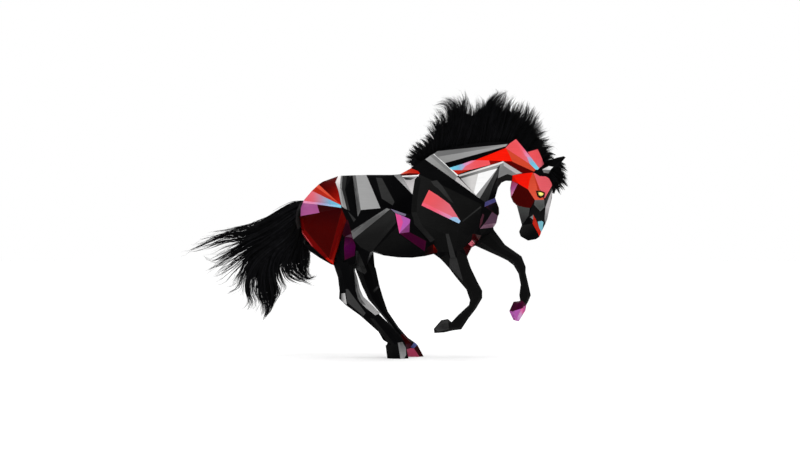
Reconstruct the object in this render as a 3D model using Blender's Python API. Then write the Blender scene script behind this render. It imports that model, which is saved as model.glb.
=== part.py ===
"""A geometric horse, life size: one faceted shell caught in a high canter on its two hind hooves,
with a glass eye on each side and a mane, a forelock and a tail of hair. Metres, +X forwards,
+Y to the horse's left, +Z up, standing on z = 0."""

from collections import namedtuple
from math import cos, pi, sin

import bmesh
import bpy
from mathutils import Vector

# How far apart two pieces that touch are kept.
PIECE_GAP = 0.0003
# How far the facets rise and sink about the plain form, as a share of the half width.
FACET_RELIEF = 0.03
# How far the corners of the facets stray up and down their ring, as a share of its depth.
FACET_STAGGER = 0.04
# A station of a loft: its two ends in the side view, its half width and its offset from the midline.
Station = namedtuple("Station", "name start end half_width centre", defaults=(0.0,))

# Cross-sections: share of the way from start to end, and share of the half width there.
BARREL = ((0.0, 0.34), (0.17, 0.80), (0.47, 1.00), (0.79, 0.78), (1.0, 0.30))
NECK = ((0.0, 0.30), (0.20, 0.72), (0.52, 1.00), (0.80, 0.86), (1.0, 0.42))
HEAD = ((0.0, 0.42), (0.16, 0.86), (0.50, 1.00), (0.80, 0.80), (1.0, 0.38))
LIMB = ((0.0, 0.0), (0.28, 1.0), (0.72, 1.0), (1.0, 0.0))

# The trunk, neck and head: start is the top line, end is the underline.
BODY_STATIONS = (
    (BARREL, Station("point of buttock", (-0.79, 1.285), (-0.81, 1.055), 0.13)),
    (BARREL, Station("tail head", (-0.72, 1.365), (-0.70, 0.92), 0.24)),
    (BARREL, Station("croup", (-0.63, 1.44), (-0.56, 0.80), 0.29)),
    (BARREL, Station("loin", (-0.505, 1.485), (-0.40, 0.82), 0.30)),
    (BARREL, Station("last rib", (-0.275, 1.495), (-0.22, 0.86), 0.30)),
    (BARREL, Station("barrel", (-0.07, 1.495), (-0.015, 0.825), 0.28)),
    (BARREL, Station("withers", (0.09, 1.55), (0.205, 0.83), 0.25)),
    (BARREL, Station("shoulder", (0.205, 1.625), (0.40, 0.87), 0.225)),
    (NECK, Station("neck base", (0.305, 1.69), (0.575, 0.90), 0.205)),
    (NECK, Station("breast", (0.535, 1.75), (0.765, 1.07), 0.175)),
    (NECK, Station("front of breast", (0.745, 1.775), (0.81, 1.19), 0.14)),
    (NECK, Station("windpipe", (0.90, 1.79), (0.795, 1.365), 0.115)),
    (NECK, Station("throat", (0.99, 1.77), (0.87, 1.45), 0.10)),
    (NECK, Station("poll", (1.10, 1.685), (0.92, 1.44), 0.09)),
    (HEAD, Station("forehead", (1.195, 1.555), (0.91, 1.315), 0.10)),
    (HEAD, Station("brow", (1.25, 1.40), (0.955, 1.245), 0.10)),
    (HEAD, Station("cheek", (1.225, 1.25), (0.985, 1.145), 0.085)),
    (HEAD, Station("nose", (1.205, 1.165), (1.00, 1.085), 0.065)),
    (HEAD, Station("muzzle", (1.185, 1.085), (0.975, 1.015), 0.06)),
    (HEAD, Station("lips", (1.155, 1.025), (0.99, 0.985), 0.055)),
    (HEAD, Station("chin", (1.12, 0.975), (1.05, 0.96), 0.035)),
)

# The limbs: start is the rear line, end is the front line.
RIGHT_HIND = (
    Station("hip", (-0.70, 1.28), (-0.46, 1.30), 0.06, -0.15),
    Station("buttock", (-0.81, 1.11), (-0.41, 1.085), 0.13, -0.18),
    Station("thigh", (-0.71, 0.91), (-0.355, 0.88), 0.12, -0.185),
    Station("stifle", (-0.54, 0.76), (-0.365, 0.775), 0.09, -0.185),
    Station("gaskin", (-0.505, 0.66), (-0.36, 0.665), 0.065, -0.18),
    Station("top of hock", (-0.492, 0.55), (-0.335, 0.56), 0.055, -0.175),
    Station("point of hock", (-0.496, 0.487), (-0.31, 0.50), 0.055, -0.17),
    Station("below the hock", (-0.44, 0.433), (-0.255, 0.45), 0.052, -0.168),
    Station("cannon", (-0.32, 0.345), (-0.155, 0.345), 0.042, -0.165),
    Station("fetlock", (-0.175, 0.215), (-0.055, 0.25), 0.05, -0.16),
    Station("ergot", (-0.138, 0.15), (0.01, 0.18), 0.05, -0.16),
    Station("pastern", (-0.102, 0.127), (0.03, 0.145), 0.046, -0.16),
    Station("coronet", (-0.115, 0.10), (0.045, 0.112), 0.06, -0.16),
    Station("sole", (-0.10, 0.0), (0.07, 0.0), 0.07, -0.16),
)
LEFT_HIND = (
    Station("hip", (-0.605, 1.25), (-0.28, 1.25), 0.06, 0.15),
    Station("thigh", (-0.52, 0.90), (-0.23, 0.855), 0.12, 0.18),
    Station("stifle", (-0.366, 0.715), (-0.20, 0.725), 0.09, 0.18),
    Station("gaskin", (-0.315, 0.585), (-0.17, 0.585), 0.065, 0.175),
    Station("point of hock", (-0.26, 0.47), (-0.14, 0.485), 0.055, 0.17),
    Station("below the hock", (-0.19, 0.39), (-0.10, 0.37), 0.048, 0.165),
    Station("cannon", (-0.08, 0.255), (-0.01, 0.24), 0.042, 0.16),
    Station("fetlock", (-0.015, 0.16), (0.065, 0.155), 0.05, 0.16),
    Station("pastern", (0.015, 0.10), (0.13, 0.11), 0.05, 0.16),
    Station("coronet", (0.035, 0.075), (0.14, 0.10), 0.06, 0.16),
    Station("sole", (0.045, 0.0), (0.195, 0.0), 0.07, 0.16),
)
RIGHT_FORE = (
    Station("shoulder", (0.23, 1.17), (0.50, 1.17), 0.04, -0.11),
    Station("elbow", (0.28, 0.895), (0.54, 0.965), 0.10, -0.14),
    Station("top of forearm", (0.325, 0.815), (0.545, 0.83), 0.09, -0.14),
    Station("forearm", (0.395, 0.74), (0.575, 0.74), 0.075, -0.14),
    Station("low forearm", (0.46, 0.655), (0.63, 0.625), 0.06, -0.14),
    Station("top of knee", (0.54, 0.56), (0.67, 0.55), 0.055, -0.14),
    Station("knee", (0.57, 0.475), (0.67, 0.49), 0.055, -0.14),
    Station("cannon", (0.55, 0.415), (0.62, 0.405), 0.042, -0.14),
    Station("low cannon", (0.485, 0.35), (0.555, 0.32), 0.04, -0.14),
    Station("fetlock", (0.42, 0.295), (0.50, 0.235), 0.048, -0.14),
    Station("coronet", (0.39, 0.32), (0.425, 0.225), 0.058, -0.14),
    Station("hoof", (0.335, 0.31), (0.36, 0.21), 0.06, -0.14),
    Station("toe", (0.275, 0.24), (0.28, 0.205), 0.035, -0.14),
)
LEFT_FORE = (
    Station("shoulder", (0.45, 1.085), (0.655, 1.25), 0.05, 0.08),
    Station("elbow", (0.61, 0.92), (0.77, 1.065), 0.09, 0.13),
    Station("forearm", (0.72, 0.87), (0.83, 0.98), 0.07, 0.13),
    Station("low forearm", (0.82, 0.825), (0.885, 0.905), 0.055, 0.13),
    Station("knee", (0.885, 0.795), (0.975, 0.845), 0.055, 0.13),
    Station("below the knee", (0.935, 0.755), (1.025, 0.765), 0.05, 0.13),
    Station("cannon", (0.97, 0.685), (1.03, 0.70), 0.042, 0.13),
    Station("low cannon", (0.985, 0.595), (1.05, 0.60), 0.04, 0.13),
    Station("fetlock", (0.975, 0.51), (1.07, 0.515), 0.046, 0.13),
    Station("pastern", (0.982, 0.468), (1.048, 0.458), 0.044, 0.13),
    Station("coronet", (0.93, 0.452), (1.032, 0.43), 0.055, 0.13),
    Station("hoof", (0.898, 0.383), (1.022, 0.39), 0.06, 0.13),
    Station("toe", (0.93, 0.31), (0.97, 0.30), 0.035, 0.13),
)
# The ears: start is the rear edge, end is the front edge, both leaning outwards.
EAR = (
    Station("root", (1.08, 1.525), (1.165, 1.47), 0.030, 0.055),
    Station("base", (1.12, 1.54), (1.20, 1.495), 0.034, 0.06),
    Station("swell", (1.20, 1.572), (1.25, 1.535), 0.030, 0.07),
    Station("narrow", (1.275, 1.635), (1.315, 1.595), 0.020, 0.08),
    Station("tip", (1.338, 1.648), (1.353, 1.637), 0.005, 0.085),
)

# The eyes: centre in the side view, size, and how far the glass stands proud of the head.
EYE_CENTRE = (1.15, 1.34)
EYE_RADIUS = 0.021
EYE_LENGTHENING = 1.35
EYE_PROUD = 0.010
EYE_SOCKET_DEPTH = 0.030
EYE_SIDES = 8

# Hair: the line that it grows from, the line that its locks reach, how thick it is and how it parts.
Hair = namedtuple("Hair", "roots tips lift root_half middle_half tip_half locks notch sway")
MANE = Hair(
    roots=((0.10, 1.55), (0.205, 1.62), (0.305, 1.68), (0.535, 1.735), (0.745, 1.765), (0.92, 1.76), (1.05, 1.69),
           (1.15, 1.605)),
    tips=((0.07, 1.66), (0.17, 1.76), (0.27, 1.87), (0.30, 2.00), (0.40, 2.09), (0.53, 2.15), (0.70, 2.14), (0.87, 2.19),
          (1.03, 2.09), (1.12, 2.00), (1.17, 1.88), (1.21, 1.76), (1.25, 1.66)),
    lift=0.06, root_half=0.045, middle_half=0.085, tip_half=0.012, locks=11, notch=0.13, sway=0.045,
)
FORELOCK = Hair(
    roots=((1.13, 1.66), (1.21, 1.565)),
    tips=((1.385, 1.53), (1.37, 1.40), (1.31, 1.36)),
    lift=0.05, root_half=0.030, middle_half=0.035, tip_half=0.006, locks=3, notch=0.20, sway=0.01,
)
TAIL = Hair(
    roots=((-0.78, 1.27), (-0.80, 1.15), (-0.80, 1.03)),
    tips=((-1.84, 0.88), (-1.66, 0.76), (-1.55, 0.65), (-1.41, 0.53), (-1.285, 0.40), (-1.10, 0.28), (-0.99, 0.42),
          (-0.86, 0.53), (-0.72, 0.585), (-0.675, 0.69)),
    lift=0.05, root_half=0.055, middle_half=0.13, tip_half=0.012, locks=12, notch=0.16, sway=0.05,
)
HAIR_STEPS_PER_LOCK = 4
HAIR_ROWS = 9


def mesh_object(name, bm):
    """Closes a mesh off as an object of this name, with flat triangles that face out."""
    bmesh.ops.remove_doubles(bm, verts=bm.verts, dist=0.00005)
    bmesh.ops.triangulate(bm, faces=bm.faces)
    bmesh.ops.recalc_face_normals(bm, faces=bm.faces)
    mesh = bpy.data.meshes.new(name)
    bm.to_mesh(mesh)
    bm.free()
    made = bpy.data.objects.new(name, mesh)
    bpy.context.scene.collection.objects.link(made)
    return made


def loft(name, rings):
    """A closed faceted solid through these rings: the diagonals of its panels turn about from one to the next."""
    bm = bmesh.new()
    rows = [[bm.verts.new(point) for point in ring] for ring in rings]
    for row, (low, high) in enumerate(zip(rows, rows[1:])):
        for column in range(len(low)):
            a, b = low[column - 1], low[column]
            c, d = high[column], high[column - 1]
            if (row + column) % 2:
                bm.faces.new((a, b, c))
                bm.faces.new((a, c, d))
            else:
                bm.faces.new((a, b, d))
                bm.faces.new((b, c, d))
    bm.faces.new(rows[0])
    bm.faces.new(rows[-1])
    return mesh_object(name, bm)


def between(start, end, share):
    return tuple(a + (b - a) * share for a, b in zip(start, end))


def ring_of(section, station, turn=0):
    """The ring of a station: its section down one side and back up the other, its corners off the plain form
    one way where turn is 1, the other way where it is -1."""
    inner = len(section) - 1
    near, far = [], []
    for place, (share, out) in enumerate(section):
        moved = share + turn * FACET_STAGGER * (0 < place < inner)
        x, z = between(station.start, station.end, moved)
        reach = out * station.half_width * (1 + turn * (-1) ** place * FACET_RELIEF)
        near.append((x, station.centre - reach, z))
        if reach:
            far.append((x, station.centre + reach, z))
    return near + far[::-1]


def limb(name, stations):
    return loft(name, [ring_of(LIMB, station) for station in stations])


def joined(name, solids):
    """One body from several that overlap."""
    whole, rest = solids[0], solids[1:]
    for other in rest:
        union = whole.modifiers.new("join " + other.name, "BOOLEAN")
        union.operation = "UNION"
        union.solver = "EXACT"
        union.object = other
    return settled(name, whole, rest)


def cut(name, solid, cutters):
    """A solid less its cutters."""
    for cutter in cutters:
        difference = solid.modifiers.new("cut " + cutter.name, "BOOLEAN")
        difference.operation = "DIFFERENCE"
        difference.solver = "EXACT"
        difference.object = cutter
    return settled(name, solid, cutters)


def settled(name, solid, helpers):
    """The evaluated mesh of a solid as a plain object; its helpers go."""
    bpy.context.view_layer.update()
    graph = bpy.context.evaluated_depsgraph_get()
    mesh = bpy.data.meshes.new_from_object(solid.evaluated_get(graph))
    for used in [solid, *helpers]:
        bpy.data.objects.remove(used)
    mesh.name = name
    made = bpy.data.objects.new(name, mesh)
    bpy.context.scene.collection.objects.link(made)
    return made


def grown(solid, by):
    """A copy of a solid that stands this far outside it all round."""
    bm = bmesh.new()
    bm.from_mesh(solid.data)
    bmesh.ops.recalc_face_normals(bm, faces=bm.faces)
    bm.normal_update()
    moves = [vertex.normal * by * min(vertex.calc_shell_factor(), 3.0) for vertex in bm.verts]
    for vertex, move in zip(bm.verts, moves):
        vertex.co += move
    return mesh_object(solid.name + " grown", bm)


def largest_part(solid):
    """Keeps the largest connected part of a solid that a cut left in several."""
    bm = bmesh.new()
    bm.from_mesh(solid.data)
    unseen = set(bm.verts)
    parts = []
    while unseen:
        queue = [unseen.pop()]
        part = set(queue)
        while queue:
            for edge in queue.pop().link_edges:
                for vertex in edge.verts:
                    if vertex in unseen:
                        unseen.discard(vertex)
                        part.add(vertex)
                        queue.append(vertex)
        parts.append(part)
    keep = max(parts, key=len)
    bmesh.ops.delete(bm, geom=[v for v in bm.verts if v not in keep], context="VERTS")
    bm.to_mesh(solid.data)
    bm.free()
    return solid


def along(line, share):
    """The point at this share of a polyline, by its corners."""
    place = min(max(share, 0.0), 1.0) * (len(line) - 1)
    index = min(int(place), len(line) - 2)
    return Vector(between(line[index], line[index + 1], place - index))


def hair_solid(name, hair):
    """A fan of locks from the root line to the tip line, thickest in its middle, grooved and notched between locks."""
    columns = hair.locks * HAIR_STEPS_PER_LOCK
    sheets = {-1: [], 1: []}
    for row in range(HAIR_ROWS + 1):
        reach = row / HAIR_ROWS
        for side in sheets:
            sheets[side].append([])
        for column in range(columns + 1):
            share = column / columns
            phase = share * hair.locks * pi
            groove = abs(cos(phase))
            root = along(hair.roots, share)
            tip = along(hair.tips, share)
            tip = root + (tip - root) * (1.0 - hair.notch * groove)
            flow = tip - root
            bulge = Vector((-flow.y, flow.x)) * hair.lift * sin(pi * reach) * cos(pi * share)
            point = root + flow * reach + bulge
            swell = sin(pi * min(0.12 + reach * 0.8, 1.0))
            half = hair.root_half * (1.0 - reach) + hair.tip_half * reach + hair.middle_half * swell * (1.0 - reach)
            half *= (1.0 - 0.30 * groove * reach) * (0.35 + 0.65 * sin(pi * (0.08 + 0.84 * share)))
            lean = hair.sway * sin(phase * 0.5 + 0.6) * reach
            for side, sheet in sheets.items():
                sheet[-1].append((point.x, lean + side * half, point.y))
    bm = bmesh.new()
    near, far = ([[bm.verts.new(point) for point in row] for row in sheets[side]] for side in (-1, 1))
    for sheet in (near, far):
        for low, high in zip(sheet, sheet[1:]):
            for column in range(columns):
                bm.faces.new((low[column], low[column + 1], high[column + 1], high[column]))
    rim = [(near[0], far[0]), (near[-1], far[-1])]
    rim += [([row[end] for row in near], [row[end] for row in far]) for end in (0, -1)]
    for first, second in rim:
        for index in range(len(first) - 1):
            bm.faces.new((first[index], first[index + 1], second[index + 1], second[index]))
    return mesh_object(name, bm)


def side_of_head(side):
    """The middle of the eye on the head's skin, and the way out there."""
    sides = [ring_of(HEAD, station, (-1) ** index)
             for index, (section, station) in enumerate(BODY_STATIONS) if station.name in ("forehead", "brow")]
    corners = [Vector(ring[place]) for ring in sides for place in (1, 2)]
    normal = (corners[1] - corners[0]).cross(corners[3] - corners[0]).normalized()
    if normal.y > 0:
        normal = -normal
    x, z = EYE_CENTRE
    depth = corners[0].y - (normal.x * (x - corners[0].x) + normal.z * (z - corners[0].z)) / normal.y
    centre = Vector((x, depth, z))
    mirror = Vector((1, -side, 1))
    return centre * mirror, normal * mirror


def eye_solid(name, side, radius, inside, proud):
    """A faceted almond along the way out of the head: a prism with a blunt crown."""
    centre, outwards = side_of_head(side)
    length = outwards.cross(Vector((0.2, 0, 1))).normalized()
    across = outwards.cross(length)
    levels = ((-inside, 0.80), (0.0, 1.0), (proud * 0.55, 0.82), (proud, 0.40))
    rings = []
    for height, share in levels:
        ring = []
        for corner in range(EYE_SIDES):
            turn = 2 * pi * corner / EYE_SIDES
            reach = length * cos(turn) * EYE_LENGTHENING + across * sin(turn)
            ring.append(centre + outwards * height + reach * radius * share)
        rings.append(ring)
    return loft(name, rings)


def centre_on_box(things):
    """Moves all the pieces together so that the middle of their overall box is at x = 0 and y = 0."""
    corners = [vertex.co for thing in things for vertex in thing.data.vertices]
    middle = [(min(corner[axis] for corner in corners) + max(corner[axis] for corner in corners)) / 2
              for axis in (0, 1)]
    step = Vector((middle[0], middle[1], 0.0))
    for thing in things:
        for vertex in thing.data.vertices:
            vertex.co -= step


def painted(thing, name, colour, roughness, metallic=0.0):
    material = bpy.data.materials.new(name)
    material.use_nodes = True
    paint = material.node_tree.nodes["Principled BSDF"]
    paint.inputs["Base Color"].default_value = (*colour, 1.0)
    paint.inputs["Roughness"].default_value = roughness
    paint.inputs["Metallic"].default_value = metallic
    thing.data.materials.clear()
    thing.data.materials.append(material)


def main():
    for thing in list(bpy.data.objects):
        bpy.data.objects.remove(thing)

    trunk = loft("trunk", [ring_of(section, station, (-1) ** index)
                           for index, (section, station) in enumerate(BODY_STATIONS)])
    limbs = [limb("right hind", RIGHT_HIND), limb("left hind", LEFT_HIND)]
    limbs += [limb("right fore", RIGHT_FORE), limb("left fore", LEFT_FORE)]
    ears = [limb("left ear", EAR), limb("right ear", [place._replace(centre=-place.centre) for place in EAR])]
    body = joined("body", [trunk, *limbs, *ears])

    eyes = {-1: "right_eye", 1: "left_eye"}
    sockets = [eye_solid(eyes[side] + " socket", side, EYE_RADIUS + PIECE_GAP, EYE_SOCKET_DEPTH, 0.02)
               for side in eyes]
    body = cut("body", body, sockets)
    glass = [eye_solid(name, side, EYE_RADIUS, EYE_SOCKET_DEPTH - PIECE_GAP, EYE_PROUD)
             for side, name in eyes.items()]

    hairs = []
    for name, hair in (("mane", MANE), ("forelock", FORELOCK), ("tail", TAIL)):
        hairs.append(largest_part(cut(name, hair_solid(name, hair), [grown(body, PIECE_GAP * 2)])))
    mane, forelock, tail = hairs
    forelock = largest_part(cut("forelock", forelock, [grown(mane, PIECE_GAP * 2)]))

    centre_on_box([body, *glass, mane, forelock, tail])
    painted(body, "faceted_body", (0.035, 0.033, 0.035), 0.28)
    for eye in glass:
        painted(eye, eye.name, (0.85, 0.80, 0.12), 0.08)
    for hair in (mane, forelock, tail):
        painted(hair, hair.name + "_hair", (0.008, 0.008, 0.009), 0.55)


main()
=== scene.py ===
"""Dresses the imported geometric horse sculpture: a lacquered faceted shell, glass eyes and loose black hair.

Every size is in metres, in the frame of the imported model: X runs from tail to head, Y across, Z up from the floor.
The side view is laid out on a drawing whose unit is 8.2 mm, and each of its lines is a text of points "u,v u,v".
"""

from __future__ import annotations

import logging
import math
import random
from collections import Counter
from dataclasses import dataclass, field
from enum import Enum
from functools import cache

import bmesh
import bpy
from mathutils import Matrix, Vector
from mathutils.bvhtree import BVHTree
from mathutils.geometry import delaunay_2d_cdt, intersect_point_line


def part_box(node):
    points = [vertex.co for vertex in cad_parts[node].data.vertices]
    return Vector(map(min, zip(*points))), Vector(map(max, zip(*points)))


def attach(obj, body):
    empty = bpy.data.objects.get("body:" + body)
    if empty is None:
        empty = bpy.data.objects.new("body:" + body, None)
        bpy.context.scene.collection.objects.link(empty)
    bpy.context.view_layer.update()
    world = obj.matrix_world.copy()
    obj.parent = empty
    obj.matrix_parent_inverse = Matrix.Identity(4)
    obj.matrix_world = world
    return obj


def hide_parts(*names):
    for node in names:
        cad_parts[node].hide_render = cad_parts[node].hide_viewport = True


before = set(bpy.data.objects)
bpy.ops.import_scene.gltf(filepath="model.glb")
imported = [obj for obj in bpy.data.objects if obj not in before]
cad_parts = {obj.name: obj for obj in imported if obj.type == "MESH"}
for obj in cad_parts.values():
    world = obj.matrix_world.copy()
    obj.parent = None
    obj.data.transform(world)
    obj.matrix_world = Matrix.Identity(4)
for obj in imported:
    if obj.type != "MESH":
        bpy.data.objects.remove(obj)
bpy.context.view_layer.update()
LOG = logging.getLogger("horse")

DRAWING_UNIT = 0.0082
DRAWING_ORIGIN = (400.0, 357.4)
REAR_TO_ORIGIN = 0.81
HALF_LENGTH_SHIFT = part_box("body")[0].x + REAR_TO_ORIGIN
CAST_FROM = 5.0
TINY = 1e-9
PAINT_DEPTH = 0.88

Point2 = tuple[float, float]
Triple = tuple[float, float, float]


def on_side(u: float, v: float) -> Vector:
    """The side-view point (x, z) in metres of a point of the drawing."""
    return Vector(((u - DRAWING_ORIGIN[0]) * DRAWING_UNIT + HALF_LENGTH_SHIFT, (DRAWING_ORIGIN[1] - v) * DRAWING_UNIT))


@cache
def drawn(line: str) -> list[Vector]:
    """The side-view points in metres of a line of the drawing."""
    return [on_side(*map(float, point.split(","))) for point in line.split()]


def holds(loop: list[Vector], point: Vector) -> bool:
    """Whether a closed side-view loop holds a point.

    Args:
        loop: the corners of the loop.
        point: the side-view point.

    Returns:
        True if the point lies inside.
    """
    inside = False
    for start, end in zip(loop, loop[1:] + loop[:1]):
        if (start.y > point.y) != (end.y > point.y):
            inside ^= point.x < start.x + (end.x - start.x) * (point.y - start.y) / (end.y - start.y)
    return inside


def linear(channel: float) -> float:
    """One colour channel from 0 to 255 as linear light."""
    share = channel / 255.0
    return share / 12.92 if share <= 0.04045 else ((share + 0.055) / 1.055) ** 2.4


class Paint(Enum):
    """The lacquer colours of the shell, as red, green and blue from 0 to 255."""

    JET = (4, 4, 5)
    NIGHT = (9, 9, 10)
    SOOT = (17, 17, 17)
    SABLE = (22, 22, 22)
    COAL = (28, 28, 28)
    CHARCOAL = (37, 37, 37)
    SLATE = (47, 47, 47)
    IRON = (60, 60, 60)
    PEWTER = (88, 88, 88)
    ZINC = (108, 108, 108)
    STEEL = (126, 126, 126)
    NICKEL = (142, 142, 141)
    SILVER = (155, 155, 155)
    TIN = (170, 169, 169)
    PEARL = (188, 184, 185)
    CHALK = (212, 210, 209)
    MILK = (236, 231, 230)
    PORCELAIN = (253, 253, 253)
    MAROON = (44, 2, 5)
    GARNET = (66, 3, 2)
    OXBLOOD = (86, 4, 3)
    CRIMSON = (108, 5, 5)
    RUBY = (142, 16, 8)
    BRICK = (182, 42, 27)
    SCARLET = (196, 26, 12)
    FLAME = (252, 26, 8)
    VERMILION = (246, 24, 11)
    RUST = (212, 72, 46)
    EMBER = (228, 86, 64)
    CORAL = (240, 85, 91)
    SALMON = (230, 93, 102)
    ROSE = (228, 108, 124)
    BLUSH = (244, 96, 118)
    MIST = (190, 152, 176)
    PINK = (226, 79, 151)
    RASPBERRY = (178, 62, 94)
    CANDY_PINK = (232, 142, 184)
    LILAC = (204, 156, 204)
    LAVENDER = (176, 170, 216)
    ORCHID = (178, 88, 150)
    MULBERRY = (160, 80, 137)
    VIOLET = (184, 90, 179)
    GRAPE = (130, 54, 118)
    PLUM = (58, 4, 38)
    ROYAL = (78, 6, 66)
    AUBERGINE = (36, 4, 17)
    WINE = (64, 34, 46)
    MIDNIGHT = (20, 14, 26)
    INDIGO = (62, 61, 114)
    MAUVE = (82, 57, 75)
    HEATHER = (130, 94, 114)
    TEAL = (112, 190, 220)
    SKY = (156, 198, 234)
    CYAN = (119, 214, 240)
    AQUA = (120, 186, 202)
    BLUE_GREY = (116, 108, 135)
    MOSS_GREY = (70, 73, 71)
    DENIM = (70, 88, 150)

    def light(self) -> Triple:
        """The paint in linear light, deepened for the strong studio light."""
        return tuple(PAINT_DEPTH * linear(channel) for channel in self.value)


class Finish(Enum):
    """The lacquer finishes, in the order of the shell's material slots."""

    BLACK = 0
    CHARCOAL = 1
    SILVER = 2
    CANDY = 3
    PEARL = 4


@dataclass(frozen=True)
class Panel:
    """One painted facet of the shell.

    corners is a closed line of the drawing. paints run evenly from the first to the last point of along. far says
    whether the far side has the panel too.
    """

    name: str
    finish: Finish
    paints: tuple[Paint, ...]
    corners: str = ""
    along: str = ""
    far: bool = True

    def colour(self, point: Vector) -> Triple:
        """The paint at a side-view point, in linear light.

        Args:
            point: the side-view point (x, z) in metres.

        Returns:
            The colour.
        """
        if len(self.paints) == 1:
            return self.paints[0].light()
        start, end = drawn(self.along)
        run = end - start
        share = min(max((point - start).dot(run) / run.length_squared, 0.0), 1.0) * (len(self.paints) - 1)
        step = min(int(share), len(self.paints) - 2)
        first, last = self.paints[step].light(), self.paints[step + 1].light()
        return tuple(a + (b - a) * (share - step) for a, b in zip(first, last))


BLACK, GREY, SILVER, CANDY, PEARL = Finish
P = Paint

TRUNK_OUTLINE = (
    "303.7,200.7 312.2,190.9 323.2,181.8 338.4,176.3 366.5,175.1 391.5,175.1 400.3,174.4 411,168.4 425,159.2 "
    "437.2,151.3 465.2,144.6 490.9,142 507.4,142.6 515.8,139.1 519.6,143.6 526.9,150.4 537.6,149.2 541.8,158.6 "
    "545.7,169 549,178.5 552.4,186.7 551.6,198 549.4,208 547,219.4 544.5,225.1 540.9,232.4 539.2,236.9 535.8,239.2 "
    "528,240.6 520.7,236.4 519.2,231.8 522,225.1 519.1,213.6 517,205.6 513.3,202 511,197 510.3,188.2 511.6,181 "
    "506.1,180.7 501.2,182.8 497.4,188 494.6,198 498.6,208.1 498.9,213.7 496,223.5 493.8,227.6 494.6,231 481.4,238.6 "
    "476.6,245.2 470.6,247.8 466.8,256.4 440,258.4 433.6,253.9 425,256 412,257.6 398.2,257.3 384,255.4 373.2,252.5 "
    "374.6,268.6 356,268.4 355.4,263.4 334.2,264.9 331.4,264 320.4,257.6 311,251.2 303.4,242 298.4,232 296.4,221 "
    "297.2,211 300.4,203.6"
)

HAUNCH: tuple[Panel, ...] = (
    Panel("oxblood rump", CANDY, (P.GARNET, P.OXBLOOD, P.RUBY, P.SCARLET),
          "319,184.6 323.2,181.8 338.4,176.3 336,182.6 339.1,190.9 340.7,200.6 341.8,205.5", "325,180 341,205"),
    Panel("ember ray", CANDY, (P.EMBER, P.RUST), "319,184.6 316.4,187 341.8,205.5", "316,186 341,205"),
    Panel("brick ray", CANDY, (P.BRICK,), "316.4,187 312.2,190.9 341.8,205.5"),
    Panel("coral ray", PEARL, (P.SALMON, P.ROSE, P.MIST, P.TEAL, P.CYAN), "312.2,190.9 303.7,200.7 341.8,205.5",
          "304,201 341,203"),
    Panel("lilac stripe", PEARL, (P.CANDY_PINK, P.CANDY_PINK, P.LAVENDER, P.SKY, P.CYAN),
          "303.7,200.7 341.8,205.5 342,208 318,205 303,203.1", "303,201 342,207"),
    Panel("orchid dock", PEARL, (P.MULBERRY, P.ORCHID), "303,203.1 317.7,204.6 320.4,212.8 301.2,216.1 301.3,208",
          "306,203 307,222"),
    Panel("garnet haunch", CANDY, (P.MAROON, P.GARNET, P.GARNET),
          "317.7,204.6 342,208 346.5,221.7 334.2,264.9 322,254.8 311.7,245 302.5,233.1 299.9,215.6 301.2,216.1 "
          "320.4,212.8", "325,205 322,250"),
    Panel("ruby rear edge", CANDY, (P.CRIMSON,),
          "299.9,215.6 303,218 306,230 330.4,259 334.2,264.9 331.2,262.9 322,254.8 311.7,245 302.5,233.1 301.4,226.6"),
    Panel("crimson bar", CANDY, (P.OXBLOOD, P.CRIMSON), "342.7,209.4 345.4,218.6 332.9,259.5 329.3,258.8",
          "343,212 331,262"),
    Panel("ruby bar", CANDY, (P.OXBLOOD, P.OXBLOOD, P.RUBY), "343.4,211.4 347.1,220.4 334.2,264.9 332.2,259.6 345,219",
          "345,212 334,262"),
    Panel("coral rear glint", CANDY, (P.CORAL, P.SALMON, P.RUBY),
          "301.8,229.6 303.2,232 314.2,246.6 312.6,246.2 302.4,234", "302,231 314,247"),
    Panel("scarlet point", CANDY, (P.SCARLET,), "328,257.2 334,260.8 334.2,264.9 326,258.3"),
    Panel("aubergine sliver", CANDY, (P.AUBERGINE,), "347.1,220.4 348.4,219.6 352.4,234.2 344.5,236.4 343,234.6",
          far=False),
    Panel("plum thigh", CANDY, (P.AUBERGINE, P.ROYAL, P.PLUM),
          "345.6,236.4 351.8,233.8 355.8,245.4 355.4,255.2 345.4,259.6 344.8,247", "348,235 349,259"),
    Panel("plum thigh top", CANDY, (P.MAUVE,), "345.6,236.4 351.8,233.8 353,237.6", far=False),
    Panel("slate groin", GREY, (P.CHARCOAL,), "356.2,250.6 358.4,250.8 365.4,268.4 356,268.4"),
)

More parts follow.
